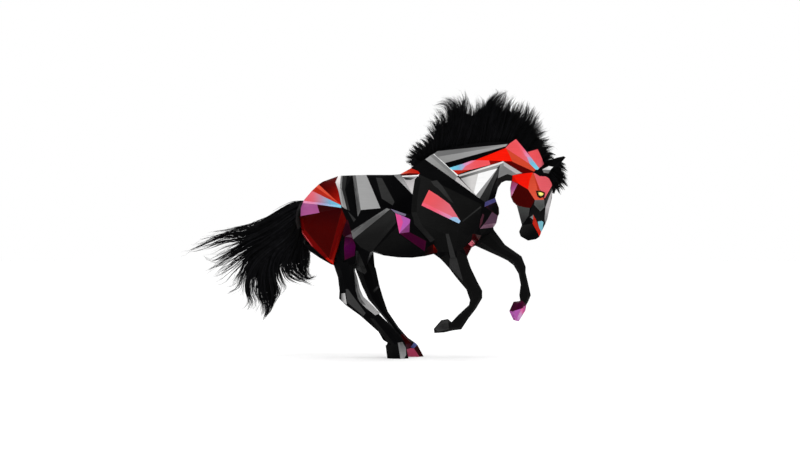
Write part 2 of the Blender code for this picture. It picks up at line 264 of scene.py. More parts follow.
BARREL: tuple[Panel, ...] = (
    Panel("porcelain loin", SILVER, (P.MILK, P.TIN, P.SILVER),
          "338.4,176.3 341,175.9 340.6,186 343.6,206 347.3,209.8 342.4,206.4 339.1,190.9 336,182.6", "338,177 345,208"),
    Panel("silver loin", SILVER, (P.PEWTER, P.STEEL, P.NICKEL),
          "341,175.9 342.8,175.8 342.4,189 347.6,209.6 343.6,206 340.6,186", "341,176 346,209"),
    Panel("black loin", BLACK, (P.NIGHT,), "342.8,175.8 352.9,175.5 358.3,216.8 347.6,209.6 342.4,189"),
    Panel("charcoal loin", GREY, (P.CHARCOAL, P.CHARCOAL, P.SLATE),
          "342.8,175.8 347.2,175.7 345.6,190 350.4,210.8 347.6,209.6 342.4,189", "343,180 350,208"),
    Panel("pewter rib", SILVER, (P.PEWTER,), "352.9,175.5 356,175.4 361.4,210.2 358.3,216.8"),
    Panel("silver rib", SILVER, (P.SILVER,), "356,175.4 366.4,175.1 380.7,208.3 361.4,210.2"),
    Panel("black saddle", BLACK, (P.NIGHT, P.JET),
          "366.4,175.1 393.4,175 412.3,194.5 410.5,215 386.9,207.9 380.7,208.3", "372,180 405,200"),
    Panel("charcoal saddle facet", GREY, (P.SLATE,), "376.2,177.9 382,178.4 394.5,202 392.7,205.6 382,198.9"),
    Panel("nickel girth strip", SILVER, (P.ZINC, P.TIN, P.TIN), "393.4,175 399.6,174.5 412.3,194.5", "395,175 411,193"),
    Panel("porcelain withers", SILVER, (P.SILVER, P.PEARL, P.CHALK),
          "399.6,174.5 401.6,176.6 417.4,176.2 414.6,180.2 412.3,194.5", "404,176 412,193"),
    # Painted highlight: a thin white line for the light caught along the withers edge.
    Panel("porcelain withers highlight line", SILVER, (P.PORCELAIN,),
          "400.8,174.8 402.6,175.6 410,175.7 417.6,175.3 419,174.4 418.4,176.6 402.4,177", far=False),
    Panel("pewter withers", SILVER, (P.SOOT, P.SLATE, P.PEWTER), "402.6,177.6 415.6,177.9 410.6,180.4 405.6,180.2",
          "403,178 414,179", far=False),
    Panel("scarlet withers", CANDY, (P.EMBER, P.BRICK, P.SCARLET),
          "400.3,174.4 411,168.6 417.7,171.3 419.5,173.5 417.7,175.3 401.6,176.2", "403,174 418,172"),
    Panel("oxblood withers", CANDY, (P.GARNET, P.OXBLOOD),
          "400.3,174.4 409.4,173.4 417.9,173.8 417.7,175.3 401.6,176.2", "402,176 418,174"),
    Panel("iron nick", GREY, (P.SLATE,), "348.5,211.4 356.5,219.5 354.3,222.1", far=False),
    Panel("pewter bar", SILVER, (P.ZINC, P.PEWTER, P.PEWTER, P.ZINC), "351.6,231.1 386.9,208.3 390,209.6 353.6,239.1",
          "352,234 389,209"),
    Panel("pewter bar upper", SILVER, (P.PEWTER, P.SLATE), "351.6,231.1 372,217.9 352.4,234.2", "352,232 372,220",
          far=False),
    Panel("soot flank", GREY, (P.CHARCOAL, P.COAL, P.COAL),
          "353.6,239.1 390,209.6 395.4,213.2 395.8,223 373.9,249.5 370.4,251.9 361.4,247.6", "372,222 380,246"),
    Panel("charcoal flank streak", GREY, (P.COAL, P.COAL, P.CHARCOAL),
          "395.6,219 395.8,223 373.9,249.5 370.4,251.9 366.8,250.4", "372,251 396,223", far=False),
    Panel("blue-grey spark", SILVER, (P.BLUE_GREY,), "390.4,208.9 406.1,214.4 405.2,216.2 395.4,213.2"),
    Panel("violet facet", PEARL, (P.VIOLET, P.VIOLET, P.ORCHID),
          "398,213.9 410.1,219.4 409.2,232 399.4,233.3 402.5,222", "408,222 399,216"),
    Panel("pink facet", PEARL, (P.PINK,), "395.4,213.2 400.7,215.9 403,222 399.4,233.3"),
    Panel("grape facet", PEARL, (P.GRAPE,), "409.7,223 409.2,232 399.4,233.3"),
    Panel("plum bar", CANDY, (P.PLUM,), "399.4,233.3 409.2,232 425.9,240.9 424.6,251.2"),
    Panel("coal belly", GREY, (P.SOOT, P.SOOT, P.NIGHT),
          "373.9,250.6 397.4,226.6 399.4,234.6 423.2,251.8 411,255.9 388,254.6", "386,236 396,256"),
    Panel("maroon girth", CANDY, (P.NIGHT, P.MAROON), "424.6,252.4 428,247 433.4,244 436.6,247.4 436,253 426,254.6",
          "426,250 435,250"),
    # Painted highlight: an orange-red glint on the girth, brightest at the top.
    Panel("scarlet girth glint", CANDY, (P.BRICK, P.OXBLOOD, P.GARNET),
          "433.4,243.4 436.2,245 437,252.4 434,253.2 432.8,248", "435,243 435,253", far=False),
)

SHOULDER: tuple[Panel, ...] = (
    Panel("sable shoulder plate", BLACK, (P.COAL, P.SABLE, P.SOOT),
          "414.6,180.4 419.8,175.2 430,180 481,204.6 478.6,222 474,234 464,249 452,251.6 438,251.8 433,244 424,232 "
          "413.6,220.6 411.2,209 412.4,196", "416,180 474,216"),
    Panel("coal shoulder rear", GREY, (P.SOOT,),
          "414.9,179.2 420.6,178.4 417.2,199.6 416.6,212.6 411.2,212.6 412.3,194.5"),
    Panel("charcoal shoulder band", GREY, (P.COAL, P.COAL, P.CHARCOAL),
          "411.2,212.6 416.6,212.6 420.4,223.4 434.4,239.6 430.3,242.3 414.2,224.4", "413,213 431,242"),
    Panel("charcoal blade facet", GREY, (P.SLATE, P.SLATE, P.CHARCOAL),
          "430.6,181.6 436.6,180.6 442,186.4 447.4,194.6 453.2,203.6 449.6,201.6 443.2,195 437.4,188.6 433.6,186",
          "431,181 452,203"),
    Panel("coral shoulder", PEARL, (P.CORAL, P.SALMON, P.ROSE, P.ROSE),
          "428.6,190.2 421.2,205.6 458.4,223.5 460,221.2 452.4,209.4 449,204.2 438,196.1", "423,200 459,221"),
    Panel("pink shoulder hem", PEARL, (P.BLUSH, P.BLUSH, P.CANDY_PINK, P.LILAC),
          "421.2,205.6 422.6,202.6 449.3,215.4 454.9,219 458.4,223.5", "422,205 458,223", far=False),
    Panel("sky shoulder tip", PEARL, (P.SKY,), "448.6,218.8 453,217 456.8,217.4 460,221.4 458.4,223.5", far=False),
    Panel("coal breast", GREY, (P.SOOT, P.NIGHT), "461.9,222.6 480.6,208.6 479.2,219.3 477.2,229.8 468,236.4 455.6,232",
          "462,222 476,232"),
    Panel("slate breast line", GREY, (P.SLATE, P.CHARCOAL), "480,206.2 480.8,207.4 462.4,221.8 461.6,221",
          "480,207 462,222", far=False),
    Panel("indigo collar", PEARL, (P.INDIGO,), "484.4,202.4 494.4,198.2 495.9,201.7 484,207"),
    Panel("aubergine breast", CANDY, (P.MIDNIGHT, P.NIGHT, P.JET),
          "495.9,201.7 498.6,208.1 498.9,213.7 497.7,216 491.7,211.9 484.4,206.8", "488,206 498,211"),
    Panel("mauve breast", CANDY, (P.MAUVE,),
          "491.7,211.9 497.9,216 496,223.5 493.8,227.6 478.8,229.1 482.3,225.6 487.2,219.3"),
    Panel("heather breast hem", CANDY, (P.HEATHER,), "483,224.9 496,223.1 494.2,227.2 479.5,228.9", far=False),
    Panel("maroon breast strip", CANDY, (P.WINE,), "482.1,213.7 483.7,215 481.6,223.5 478.8,228.4 480,219.3",
          far=False),
    Panel("maroon armpit", CANDY, (P.MAROON,), "472.1,234 480.9,235.4 478.8,240.3 474.9,244.8 471,240.9"),
    Panel("crimson armpit", CANDY, (P.MAROON,), "467.8,243.6 471.8,246.8 466.9,256.2 463,248"),
    Panel("rose armpit", PEARL, (P.ROSE,), "467.8,244 471.8,240 475.6,243.8 471.8,246.8", far=False),
    Panel("slate forearm facet", GREY, (P.SLATE,), "445.1,233.7 448.2,233.7 455.2,257.2 449.8,257.6"),
)

NECK: tuple[Panel, ...] = (
    Panel("charcoal dock hem", GREY, (P.SLATE, P.SLATE, P.CHARCOAL),
          "303.7,200.7 300.4,203.6 297.2,211 296.4,221 298.4,232 303.4,242 305.6,244.6 306,238.6 302.5,233.1 "
          "301.4,226.6 299.9,215.6 301.3,208", "299,206 304,242"),
    Panel("silver neck band", SILVER, (P.SILVER, P.NICKEL, P.STEEL), "425.1,159.6 430,156 456.3,179.3 454.9,181",
          "427,158 456,180"),
    Panel("steel neck band", SILVER, (P.STEEL,), "430,156 433.9,153.8 457,176.5 456.3,179.3"),
    # Painted highlight: a thin white line for the light caught along the edge of the steel neck band.
    Panel("porcelain neck highlight line", SILVER, (P.PORCELAIN,), "433.3,154.4 434.7,153.4 457.9,175.4 457,176.7", far=False),
    Panel("tin neck band", SILVER, (P.PEARL, P.CHALK), "455.8,178 457.8,177.6 475.4,195.4 479.1,198.6 454.9,181",
          "456,179 478,197"),
    Panel("zinc wing", SILVER, (P.ZINC, P.ZINC, P.STEEL, P.SILVER),
          "433.9,154 437.4,151.4 507.5,144.2 490.7,148 437,157.2", "438,156 506,145"),
    Panel("nickel wing", SILVER, (P.NICKEL, P.SILVER, P.SILVER),
          "437,157.2 490.7,148 507.5,144.2 505.4,146.6 444.4,163.4", "440,160 506,146"),
    Panel("black wing shade", BLACK, (P.JET,), "444.4,163.4 505.4,146.6 504.5,148.6 474.5,160.2 462.3,164.4 449,168.2"),
    Panel("cyan throat lace", PEARL, (P.CYAN, P.TEAL, P.LAVENDER),
          "449,168.2 462.3,164.2 464.7,166.7 461.9,170.4 452.1,170.4", "450,168 464,166"),
    Panel("lavender throat lace", PEARL, (P.LILAC, P.CANDY_PINK, P.BLUSH),
          "462.3,164.2 471,161 475.9,160.6 464.7,166.7", "462,166 475,161"),
    Panel("coral throat lace", PEARL, (P.ROSE, P.CORAL, P.CORAL),
          "475.9,160.6 488.6,160.6 490,165.1 470.3,170 461.6,170.4 464.7,166.7", "463,169 489,163"),
    Panel("brick throat lace", CANDY, (P.SCARLET, P.BRICK, P.BRICK), "452.1,170.4 471,170 457,174.9",
          "453,171 470,171"),
    Panel("oxblood throat lace", CANDY, (P.RUBY, P.CRIMSON), "490,165.1 488.6,160.6 500.9,160.8 502.4,162.2",
          "490,163 501,162"),
    Panel("flame neck", CANDY, (P.FLAME,), "474.5,160.6 505.2,148.2 507.8,152.5 511.7,161.4 501.9,161.4 488.6,160.8"),
    # Painted highlight: a thin white line for the light caught along the lower neck edge.
    Panel("porcelain neck highlight", SILVER, (P.PEARL, P.MILK, P.MILK),
          "457.2,175.4 488,166.2 502.6,161.4 505,162.2 503,163.6 459.1,177.2", "457,176 503,163"),
    Panel("zinc neck bar", SILVER, (P.CHARCOAL, P.NICKEL, P.SILVER), "459.1,176.9 500.5,164.1 495.6,169 460.5,179.2",
          "460,178 499,166"),
    Panel("chalk neck facet", SILVER, (P.CHALK, P.CHALK, P.TIN), "460.5,179 480,173.2 475.2,195.4", "478,178 462,181"),
    Panel("porcelain neck facet", SILVER, (P.PORCELAIN,), "477.7,174 497,168.6 475.4,195.6 473.4,192.6"),
    Panel("tin neck edge", SILVER, (P.STEEL, P.TIN), "475.4,195.6 497.4,168.2 498.4,169 479.1,198.6",
          "476,195 498,170"),
    Panel("charcoal neck edge", GREY, (P.CHARCOAL, P.SLATE, P.IRON), "479.1,198.6 498.6,166 499.8,170.6 484.4,202.4",
          "480,198 498,168"),
    Panel("moss neck bar", GREY, (P.COAL, P.SLATE, P.IRON), "484.4,202.4 495,175 499.2,171.6 494.4,180.6 487.4,201",
          "484,202 496,176"),
    Panel("nickel throat", SILVER, (P.STEEL,), "499.6,164.4 503.3,163 521.6,173.4 511.6,175.6 506.8,174.2 497.4,178.4"),
    Panel("tin throat strip", SILVER, (P.PEARL,), "502,161.8 505.6,162.6 522.6,173 515.8,174 503.3,166"),
    Panel("coal throat", GREY, (P.COAL, P.COAL, P.JET),
          "497.4,178.4 506.8,174.2 511.6,175.6 511.6,181 506.1,180.7 501.2,182.8 497.4,188 494.6,198 487.4,201",
          "508,176 496,196"),
    Panel("blush crest", PEARL, (P.CORAL, P.CORAL, P.ROSE),
          "515.8,139.1 509.3,143.8 505.2,148 529.3,164.2 535.1,169.8 537.3,170 538.7,168.5 530,156.9 526.7,152.5",
          "510,152 528,152"),
    Panel("lavender crest edge", PEARL, (P.CORAL, P.BLUSH, P.CANDY_PINK),
          "515.8,139.1 517.4,143.2 525.2,156.4 530.6,157.6 526.7,152.5", "518,142 528,156", far=False),
    Panel("cyan crest tip", PEARL, (P.LILAC, P.TEAL, P.CYAN),
          "526.4,157 530.4,157.4 538.7,168.5 537.3,170 535.1,169.8 529.3,164.2", "528,156 537,169"),
    Panel("coral poll", PEARL, (P.CORAL, P.CORAL, P.ROSE), "527.4,152.2 537.6,149.2 543.8,164.4 538.7,168.5 530,156.6",
          "529,152 541,168"),
    Panel("rust crest", CANDY, (P.RUST,), "505.2,148.4 529.3,164.2 535.1,170 533.6,171.8 511.8,162 507.8,152.5"),
    Panel("garnet jowl", CANDY, (P.OXBLOOD,), "502.4,161.6 511.4,161.6 533.4,171.8 523.4,173.6 521.6,173.3"),
)

HEAD: tuple[Panel, ...] = (
    Panel("vermilion cheek", CANDY, (P.VERMILION, P.VERMILION, P.FLAME),
          "512.2,175.4 523.8,173.6 532.2,172.6 529.3,180.2 527.4,189.6 518.4,184.2 511.8,181", "515,178 530,180"),
    Panel("rust cheek", CANDY, (P.RUST, P.EMBER),
          "532.2,172.8 529.3,180.2 527.4,189.6 534.3,200.1 543.6,199.8 538.7,188.2", "531,176 539,199"),
    Panel("brick cheek wedge", CANDY, (P.RUST, P.BRICK), "532.6,172.8 535.2,177 538.9,188.6 537.4,191.6",
          "532,174 538,190", far=False),
    Panel("salmon brow", PEARL, (P.SALMON,),
          "532.9,172.8 541.6,176.5 545.2,176.5 548.6,178.4 552,184.4 551.4,186.2 548.9,190.3 544.2,198.6 538.7,188.2"),
    Panel("orchid jaw", PEARL, (P.RASPBERRY, P.ORCHID, P.CANDY_PINK),
          "511.6,181 517.3,184.2 512.5,194 511,197 510.3,188.2", "512,182 513,195"),
    Panel("garnet cheek", CANDY, (P.GARNET,),
          "517.3,184.2 518.4,184.2 527.4,189.6 534.3,200.1 530,207.8 526.3,207.8 517,205.6 513.3,202 511,197"),
    Panel("black face", BLACK, (P.SOOT, P.COAL), "534.3,200.1 544.5,199.8 546,207.1 544.5,220 541,232 532,224 528,216",
          "540,208 536,235"),
    Panel("moss diamond", SILVER, (P.PEWTER, P.MOSS_GREY, P.MOSS_GREY),
          "534.3,200.1 543.8,200 544.2,207.1 539.8,211.4 533.6,204.9", "539,201 539,211"),
    Panel("charcoal nose strip", GREY, (P.IRON, P.SLATE, P.CHARCOAL),
          "551.4,187.6 551.8,190.3 548.2,198.3 545.2,207.1 544.2,207.1 544.3,199.6", "550,190 545,206"),
    Panel("night brow", GREY, (P.NIGHT,), "551.2,182.6 553.8,186.2 555.6,189.4 554.2,193.6 552,193 552.6,187.8"),
    Panel("pearl nose strip", SILVER, (P.PEARL, P.PEARL, P.ZINC),
          "551.9,189.6 552.3,192.5 549.4,207.6 547,219.4 545,224.4 544.3,219.4 545.2,207.1 548.2,198.3",
          "552,191 546,223"),
    Panel("iron muzzle bone", GREY, (P.MOSS_GREY, P.IRON, P.COAL),
          "517,205.6 529.3,208.1 528.2,215.8 522,225.2 519.1,213.6", "522,206 522,225"),
    Panel("tin lip nick", SILVER, (P.PEWTER, P.NICKEL), "529.6,217.2 532.9,214.7 532.7,219.6", "530,216 532,219",
          far=False),
    Panel("scarlet lip", CANDY, (P.BRICK, P.SCARLET, P.SCARLET),
          "532.9,214.7 535.1,218.7 540.7,231.8 540.5,233.9 539.2,236.9 537.3,232.5 532.2,223.8", "533,216 540,236"),
    Panel("rust lip", CANDY, (P.BRICK,), "533.4,218.6 535.4,220.4 540,231.6 538.6,233 534,225", far=False),
    Panel("aqua nostril", PEARL, (P.AQUA,), "537.3,221.6 541.6,220.9 543.1,222.3 542.4,229.6 540.9,231.8 538.7,227.4"),
    Panel("coal muzzle", GREY, (P.COAL, P.SOOT, P.JET),
          "522,225.2 531.4,223.8 536.2,232.6 527,239.4 520.7,236.4 519.4,231.8", "522,228 530,238"),
)


@dataclass(frozen=True)
class Station:
    """One cross-section of a limb: rear and front points in the side view before centring, half width and centre."""

    name: str
    rear: Point2
    front: Point2
    half_width: float
    centre: float


@dataclass
class Limb:
    """A leg or an ear of the shell: its sections from root to end, and its painted facets."""

    name: str
    stations: tuple[Station, ...]
    panels: tuple[Panel, ...]
    base: Panel
    ridges: Point2 = (0.28, 0.72)

    def line(self, share: float) -> list[Vector]:
        """The side-view line down the limb at a share of the way from its rear to its front."""
        ends = ([Vector((x + HALF_LENGTH_SHIFT, z)) for x, z in (row.rear, row.front)] for row in self.stations)
        return [rear.lerp(front, share) for rear, front in ends]

    def outline(self) -> list[Vector]:
        """The side-view outline, down the rear line and back up the front line."""
        return self.line(0.0) + self.line(1.0)[::-1]

    def lines(self) -> list[list[Vector]]:
        """The two ridge lines in the side view."""
        return [self.line(share) for share in self.ridges]

    def surface(self) -> BVHTree:
        """The plain loft through the stations, to take depths from.

        Returns:
            The loft's surface.
        """
        low, high = self.ridges
        ring = ((0.0, 0), (low, -1), (high, -1), (1.0, 0), (high, 1), (low, 1))
        lines = [self.line(share) for share, _ in ring]
        corners, faces = [], []
        for row, station in enumerate(self.stations):
            for line, (_, out) in zip(lines, ring):
                corners.append((line[row].x, station.centre + out * station.half_width, line[row].y))
        sides = len(ring)
        for row in range(len(self.stations) - 1):
            for k in range(sides):
                a, b = row * sides + k, row * sides + (k + 1) % sides
                faces.append((a, b, b + sides, a + sides))
        return BVHTree.FromPolygons(corners, faces)


RIGHT_HIND = Limb(
    "right hind leg",
    (
        Station("root", (-0.6, 0.92), (-0.43, 0.9), 0.04, -0.16),
        Station("stifle", (-0.54, 0.765), (-0.37, 0.775), 0.088, -0.185),
        Station("gaskin", (-0.505, 0.66), (-0.36, 0.665), 0.065, -0.18),
        Station("top of hock", (-0.492, 0.55), (-0.335, 0.56), 0.055, -0.175),
        Station("point of hock", (-0.496, 0.487), (-0.31, 0.5), 0.055, -0.17),
        Station("below the hock", (-0.44, 0.433), (-0.255, 0.45), 0.052, -0.168),
        Station("cannon", (-0.32, 0.345), (-0.155, 0.345), 0.042, -0.165),
        Station("fetlock", (-0.175, 0.215), (-0.055, 0.25), 0.05, -0.16),
        Station("ergot", (-0.138, 0.15), (0.01, 0.18), 0.05, -0.16),
        Station("pastern", (-0.102, 0.127), (0.03, 0.145), 0.046, -0.16),
        Station("coronet", (-0.115, 0.1), (0.045, 0.112), 0.06, -0.16),
        Station("sole", (-0.1, 0.0), (0.07, 0.0), 0.07, -0.16),
    ),
    (
        Panel("iron hock", SILVER, (P.IRON, P.TIN, P.CHALK),
              "341.6,293 345.6,292.4 347.2,303.8 343.4,301.8 341.4,298.4", "341.4,298 346.8,298"),
        Panel("slate hock band", GREY, (P.IRON,), "346.3,288.4 348.6,288.6 366,312.4 363.6,315.2 347.6,301.6"),
        Panel("silver gaskin strip", SILVER, (P.PEWTER, P.STEEL, P.SILVER, P.TIN),
              "354.2,268 357.4,276 360.4,288.8 363.6,296 370.2,302.2 380.4,312.6 375.4,314.4 366.4,307.2 360.2,301 "
              "357,293 355.4,282", "355,274 374,312"),
        Panel("zinc gaskin shade", SILVER, (P.IRON, P.PEWTER),
              "354.8,274 356.8,282 358.8,291 361.7,298.5 366.4,304.6 362.5,303.5 358.6,298.5 356.2,290",
              "356,280 362,302"),
        Panel("coal cannon", GREY, (P.COAL, P.SOOT), "370.5,317.5 374,317.8 394.6,343 391.4,343.6", "366,316 392,342"),
        Panel("tin hoof strip", SILVER, (P.PEWTER, P.SILVER),
              "397.8,341.6 402.4,341 405.8,347 406,354 404,357.4 400.4,357.4", "400,342 404,357"),
        Panel("night hoof", BLACK, (P.SOOT, P.NIGHT), "385.6,344.4 397.6,343 400.4,357.4 387.4,357.4",
              "389,345 400,357"),
    ),
    Panel("night hind leg", BLACK, (P.NIGHT,)),
)

LEFT_HIND = Limb(
    "left hind leg",
    (
        Station("root", (-0.44, 0.9), (-0.27, 0.86), 0.08, 0.17),
        Station("stifle", (-0.366, 0.715), (-0.2, 0.725), 0.088, 0.18),
        Station("gaskin", (-0.315, 0.585), (-0.17, 0.585), 0.065, 0.175),
        Station("point of hock", (-0.26, 0.47), (-0.14, 0.485), 0.055, 0.17),
        Station("below the hock", (-0.19, 0.39), (-0.1, 0.37), 0.048, 0.165),
        Station("cannon", (-0.08, 0.255), (-0.01, 0.24), 0.042, 0.16),
        Station("fetlock", (-0.015, 0.16), (0.065, 0.155), 0.05, 0.16),
        Station("pastern", (0.015, 0.1), (0.13, 0.11), 0.05, 0.16),
        Station("coronet", (0.035, 0.075), (0.14, 0.1), 0.06, 0.16),
        Station("sole", (0.045, 0.0), (0.195, 0.0), 0.07, 0.16),
    ),
    (
        Panel("slate stifle facet", GREY, (P.SLATE,), "355.6,262 362.8,262 366.8,271.9 364.5,274.4 355.8,269.4"),
        Panel("slate gaskin streak", GREY, (P.IRON, P.COAL), "372.6,291.2 377.2,286.6 378.6,288 374,293",
              "378,287 373,291.5"),
        Panel("maroon pastern", CANDY, (P.MAROON,),
              "400.8,335 403.6,334.4 409.6,340.8 411.4,344 406.4,344.6 405,349 403,344"),
        Panel("indigo coronet", CANDY, (P.AUBERGINE, P.WINE),
              "404.2,348.4 406.4,344.4 411.2,343.4 411.4,347.6 404.6,350.4", "410,343 405,350"),
        Panel("pink hoof", PEARL, (P.RASPBERRY,), "404.3,350.2 411.2,348.6 414,349 419.6,357.4 405.5,357.4"),
        Panel("sky hoof facet", PEARL, (P.INDIGO, P.DENIM), "410.6,347.8 414.4,343 417.5,345.6 413.8,349",
              "411,348 417,345"),
        Panel("oxblood toe", CANDY, (P.MAROON,), "413.8,349 417.5,345.6 423.8,357.4 419.6,357.4"),
    ),
    Panel("night left hind leg", BLACK, (P.NIGHT,)),
)

RIGHT_FORE = Limb(
    "right foreleg",
    (
        Station("root", (0.31, 0.93), (0.5, 0.95), 0.06, -0.14),
        Station("top of forearm", (0.325, 0.815), (0.545, 0.83), 0.088, -0.14),
        Station("forearm", (0.395, 0.74), (0.575, 0.74), 0.075, -0.14),
        Station("low forearm", (0.46, 0.655), (0.63, 0.625), 0.06, -0.14),
        Station("top of knee", (0.54, 0.56), (0.67, 0.55), 0.055, -0.14),
        Station("knee", (0.57, 0.475), (0.67, 0.49), 0.055, -0.14),
        Station("cannon", (0.562, 0.434), (0.62, 0.405), 0.042, -0.14),
        Station("low cannon", (0.474, 0.352), (0.555, 0.32), 0.04, -0.14),
        Station("fetlock", (0.42, 0.295), (0.5, 0.235), 0.048, -0.14),
        Station("coronet", (0.39, 0.32), (0.425, 0.225), 0.058, -0.14),
        Station("hoof", (0.335, 0.31), (0.36, 0.21), 0.06, -0.14),
        Station("toe", (0.275, 0.24), (0.28, 0.205), 0.035, -0.14),
    ),
    (
        Panel("slate forearm", GREY, (P.SLATE,), "446.8,240 450.6,240 455,254 462.2,280.9 448.9,266.7 449.4,254"),
        Panel("charcoal fore hoof", GREY, (P.SLATE, P.CHARCOAL, P.IRON),
              "447.5,318.8 448.6,328.6 438,330.8 434.6,328.4 440.9,320.4", "446,320 438,331"),
    ),
    Panel("night foreleg", BLACK, (P.SOOT,)),
)

LEFT_FORE = Limb(
    "left foreleg",
    (
        Station("root", (0.56, 0.97), (0.7, 1.08), 0.06, 0.12),
        Station("elbow", (0.61, 0.92), (0.77, 1.052), 0.088, 0.13),
        Station("forearm", (0.72, 0.87), (0.866, 0.923), 0.07, 0.13),
        Station("low forearm", (0.82, 0.825), (0.931, 0.878), 0.055, 0.13),
        Station("knee", (0.885, 0.793), (1.002, 0.828), 0.055, 0.13),
        Station("below the knee", (0.937, 0.753), (1.037, 0.741), 0.05, 0.13),
        Station("cannon", (0.978, 0.683), (1.036, 0.695), 0.042, 0.13),
        Station("low cannon", (0.995, 0.595), (1.058, 0.6), 0.04, 0.13),
        Station("fetlock", (0.984, 0.505), (1.079, 0.505), 0.046, 0.13),
        Station("pastern", (0.992, 0.462), (1.057, 0.453), 0.044, 0.13),
        Station("coronet", (0.938, 0.447), (1.04, 0.425), 0.055, 0.13),
        Station("hoof", (0.906, 0.378), (1.03, 0.385), 0.06, 0.13),
        Station("toe", (0.938, 0.305), (0.978, 0.295), 0.035, 0.13),
    ),
    (
        Panel("plum hoof top", CANDY, (P.PLUM,),
              "514.3,302.2 519.4,301.6 521.9,300.6 527.1,305.3 525.1,307.8 513.3,312 509.9,311.6"),
        Panel("violet hoof", PEARL, (P.VIOLET, P.VIOLET, P.ORCHID),
              "509.9,311.6 513.3,312 521.5,309 517.7,321.2 514.1,320.6", "510.9,311.6 519.9,320.6"),
        Panel("orchid hoof front", PEARL, (P.PINK, P.LILAC, P.VIOLET),
              "521.5,309 526.1,307.6 525.9,311 519.5,321.8 516.5,321.2", "522.9,309.6 517.9,321.6"),
        Panel("pink hoof front", PEARL, (P.ORCHID, P.PINK), "523.9,307 527.1,305.3 526.1,311 522.5,316.6",
              "524.9,305.6 523.9,316.6", far=False),
    ),
    Panel("night left foreleg", BLACK, (P.SOOT,)),
)

EAR_PANELS: tuple[Panel, ...] = (
    Panel("porcelain ear", SILVER, (P.CHALK, P.PORCELAIN), "541.6,169.8 548.2,166.3 552.5,167.1 549.6,170.3",
          "545,168 552,168"),
    Panel("iron ear", SILVER, (P.ZINC, P.PEWTER), "541.6,169.8 549.6,170.3 548.2,173.6 543.1,172.9", "546,170 548,174"),
)


def ear(name: str, side: int) -> Limb:
    """One ear, leaning outwards.

    Args:
        name: the ear's name.
        side: -1 for the right ear, 1 for the left.

    Returns:
        The ear as a limb.
    """
    stations = (
        Station("root", (1.08, 1.525), (1.165, 1.47), 0.030, side * 0.055),
        Station("base", (1.12, 1.54), (1.20, 1.495), 0.034, side * 0.06),
        Station("swell", (1.20, 1.572), (1.25, 1.535), 0.030, side * 0.07),
        Station("narrow", (1.275, 1.635), (1.315, 1.595), 0.020, side * 0.08),
        Station("tip", (1.338, 1.648), (1.353, 1.637), 0.006, side * 0.085),
    )
    return Limb(name, stations, EAR_PANELS, Panel("night ear", BLACK, (P.NIGHT,)))


def surface_of(made: bpy.types.Object) -> BVHTree:
    """The surface of an object, to take depths from."""
    corners = [made.matrix_world @ vertex.co for vertex in made.data.vertices]
    return BVHTree.FromPolygons(corners, [tuple(face.vertices) for face in made.data.polygons])


def cast(surface: BVHTree, point: Vector, side: int) -> float | None:
    """The y of a surface at a side-view point, seen from one side, or None past its edge."""
    place = surface.ray_cast(Vector((point.x, CAST_FROM * side, point.y)), Vector((0.0, -side, 0.0)))[0]
    return None if place is None else place.y


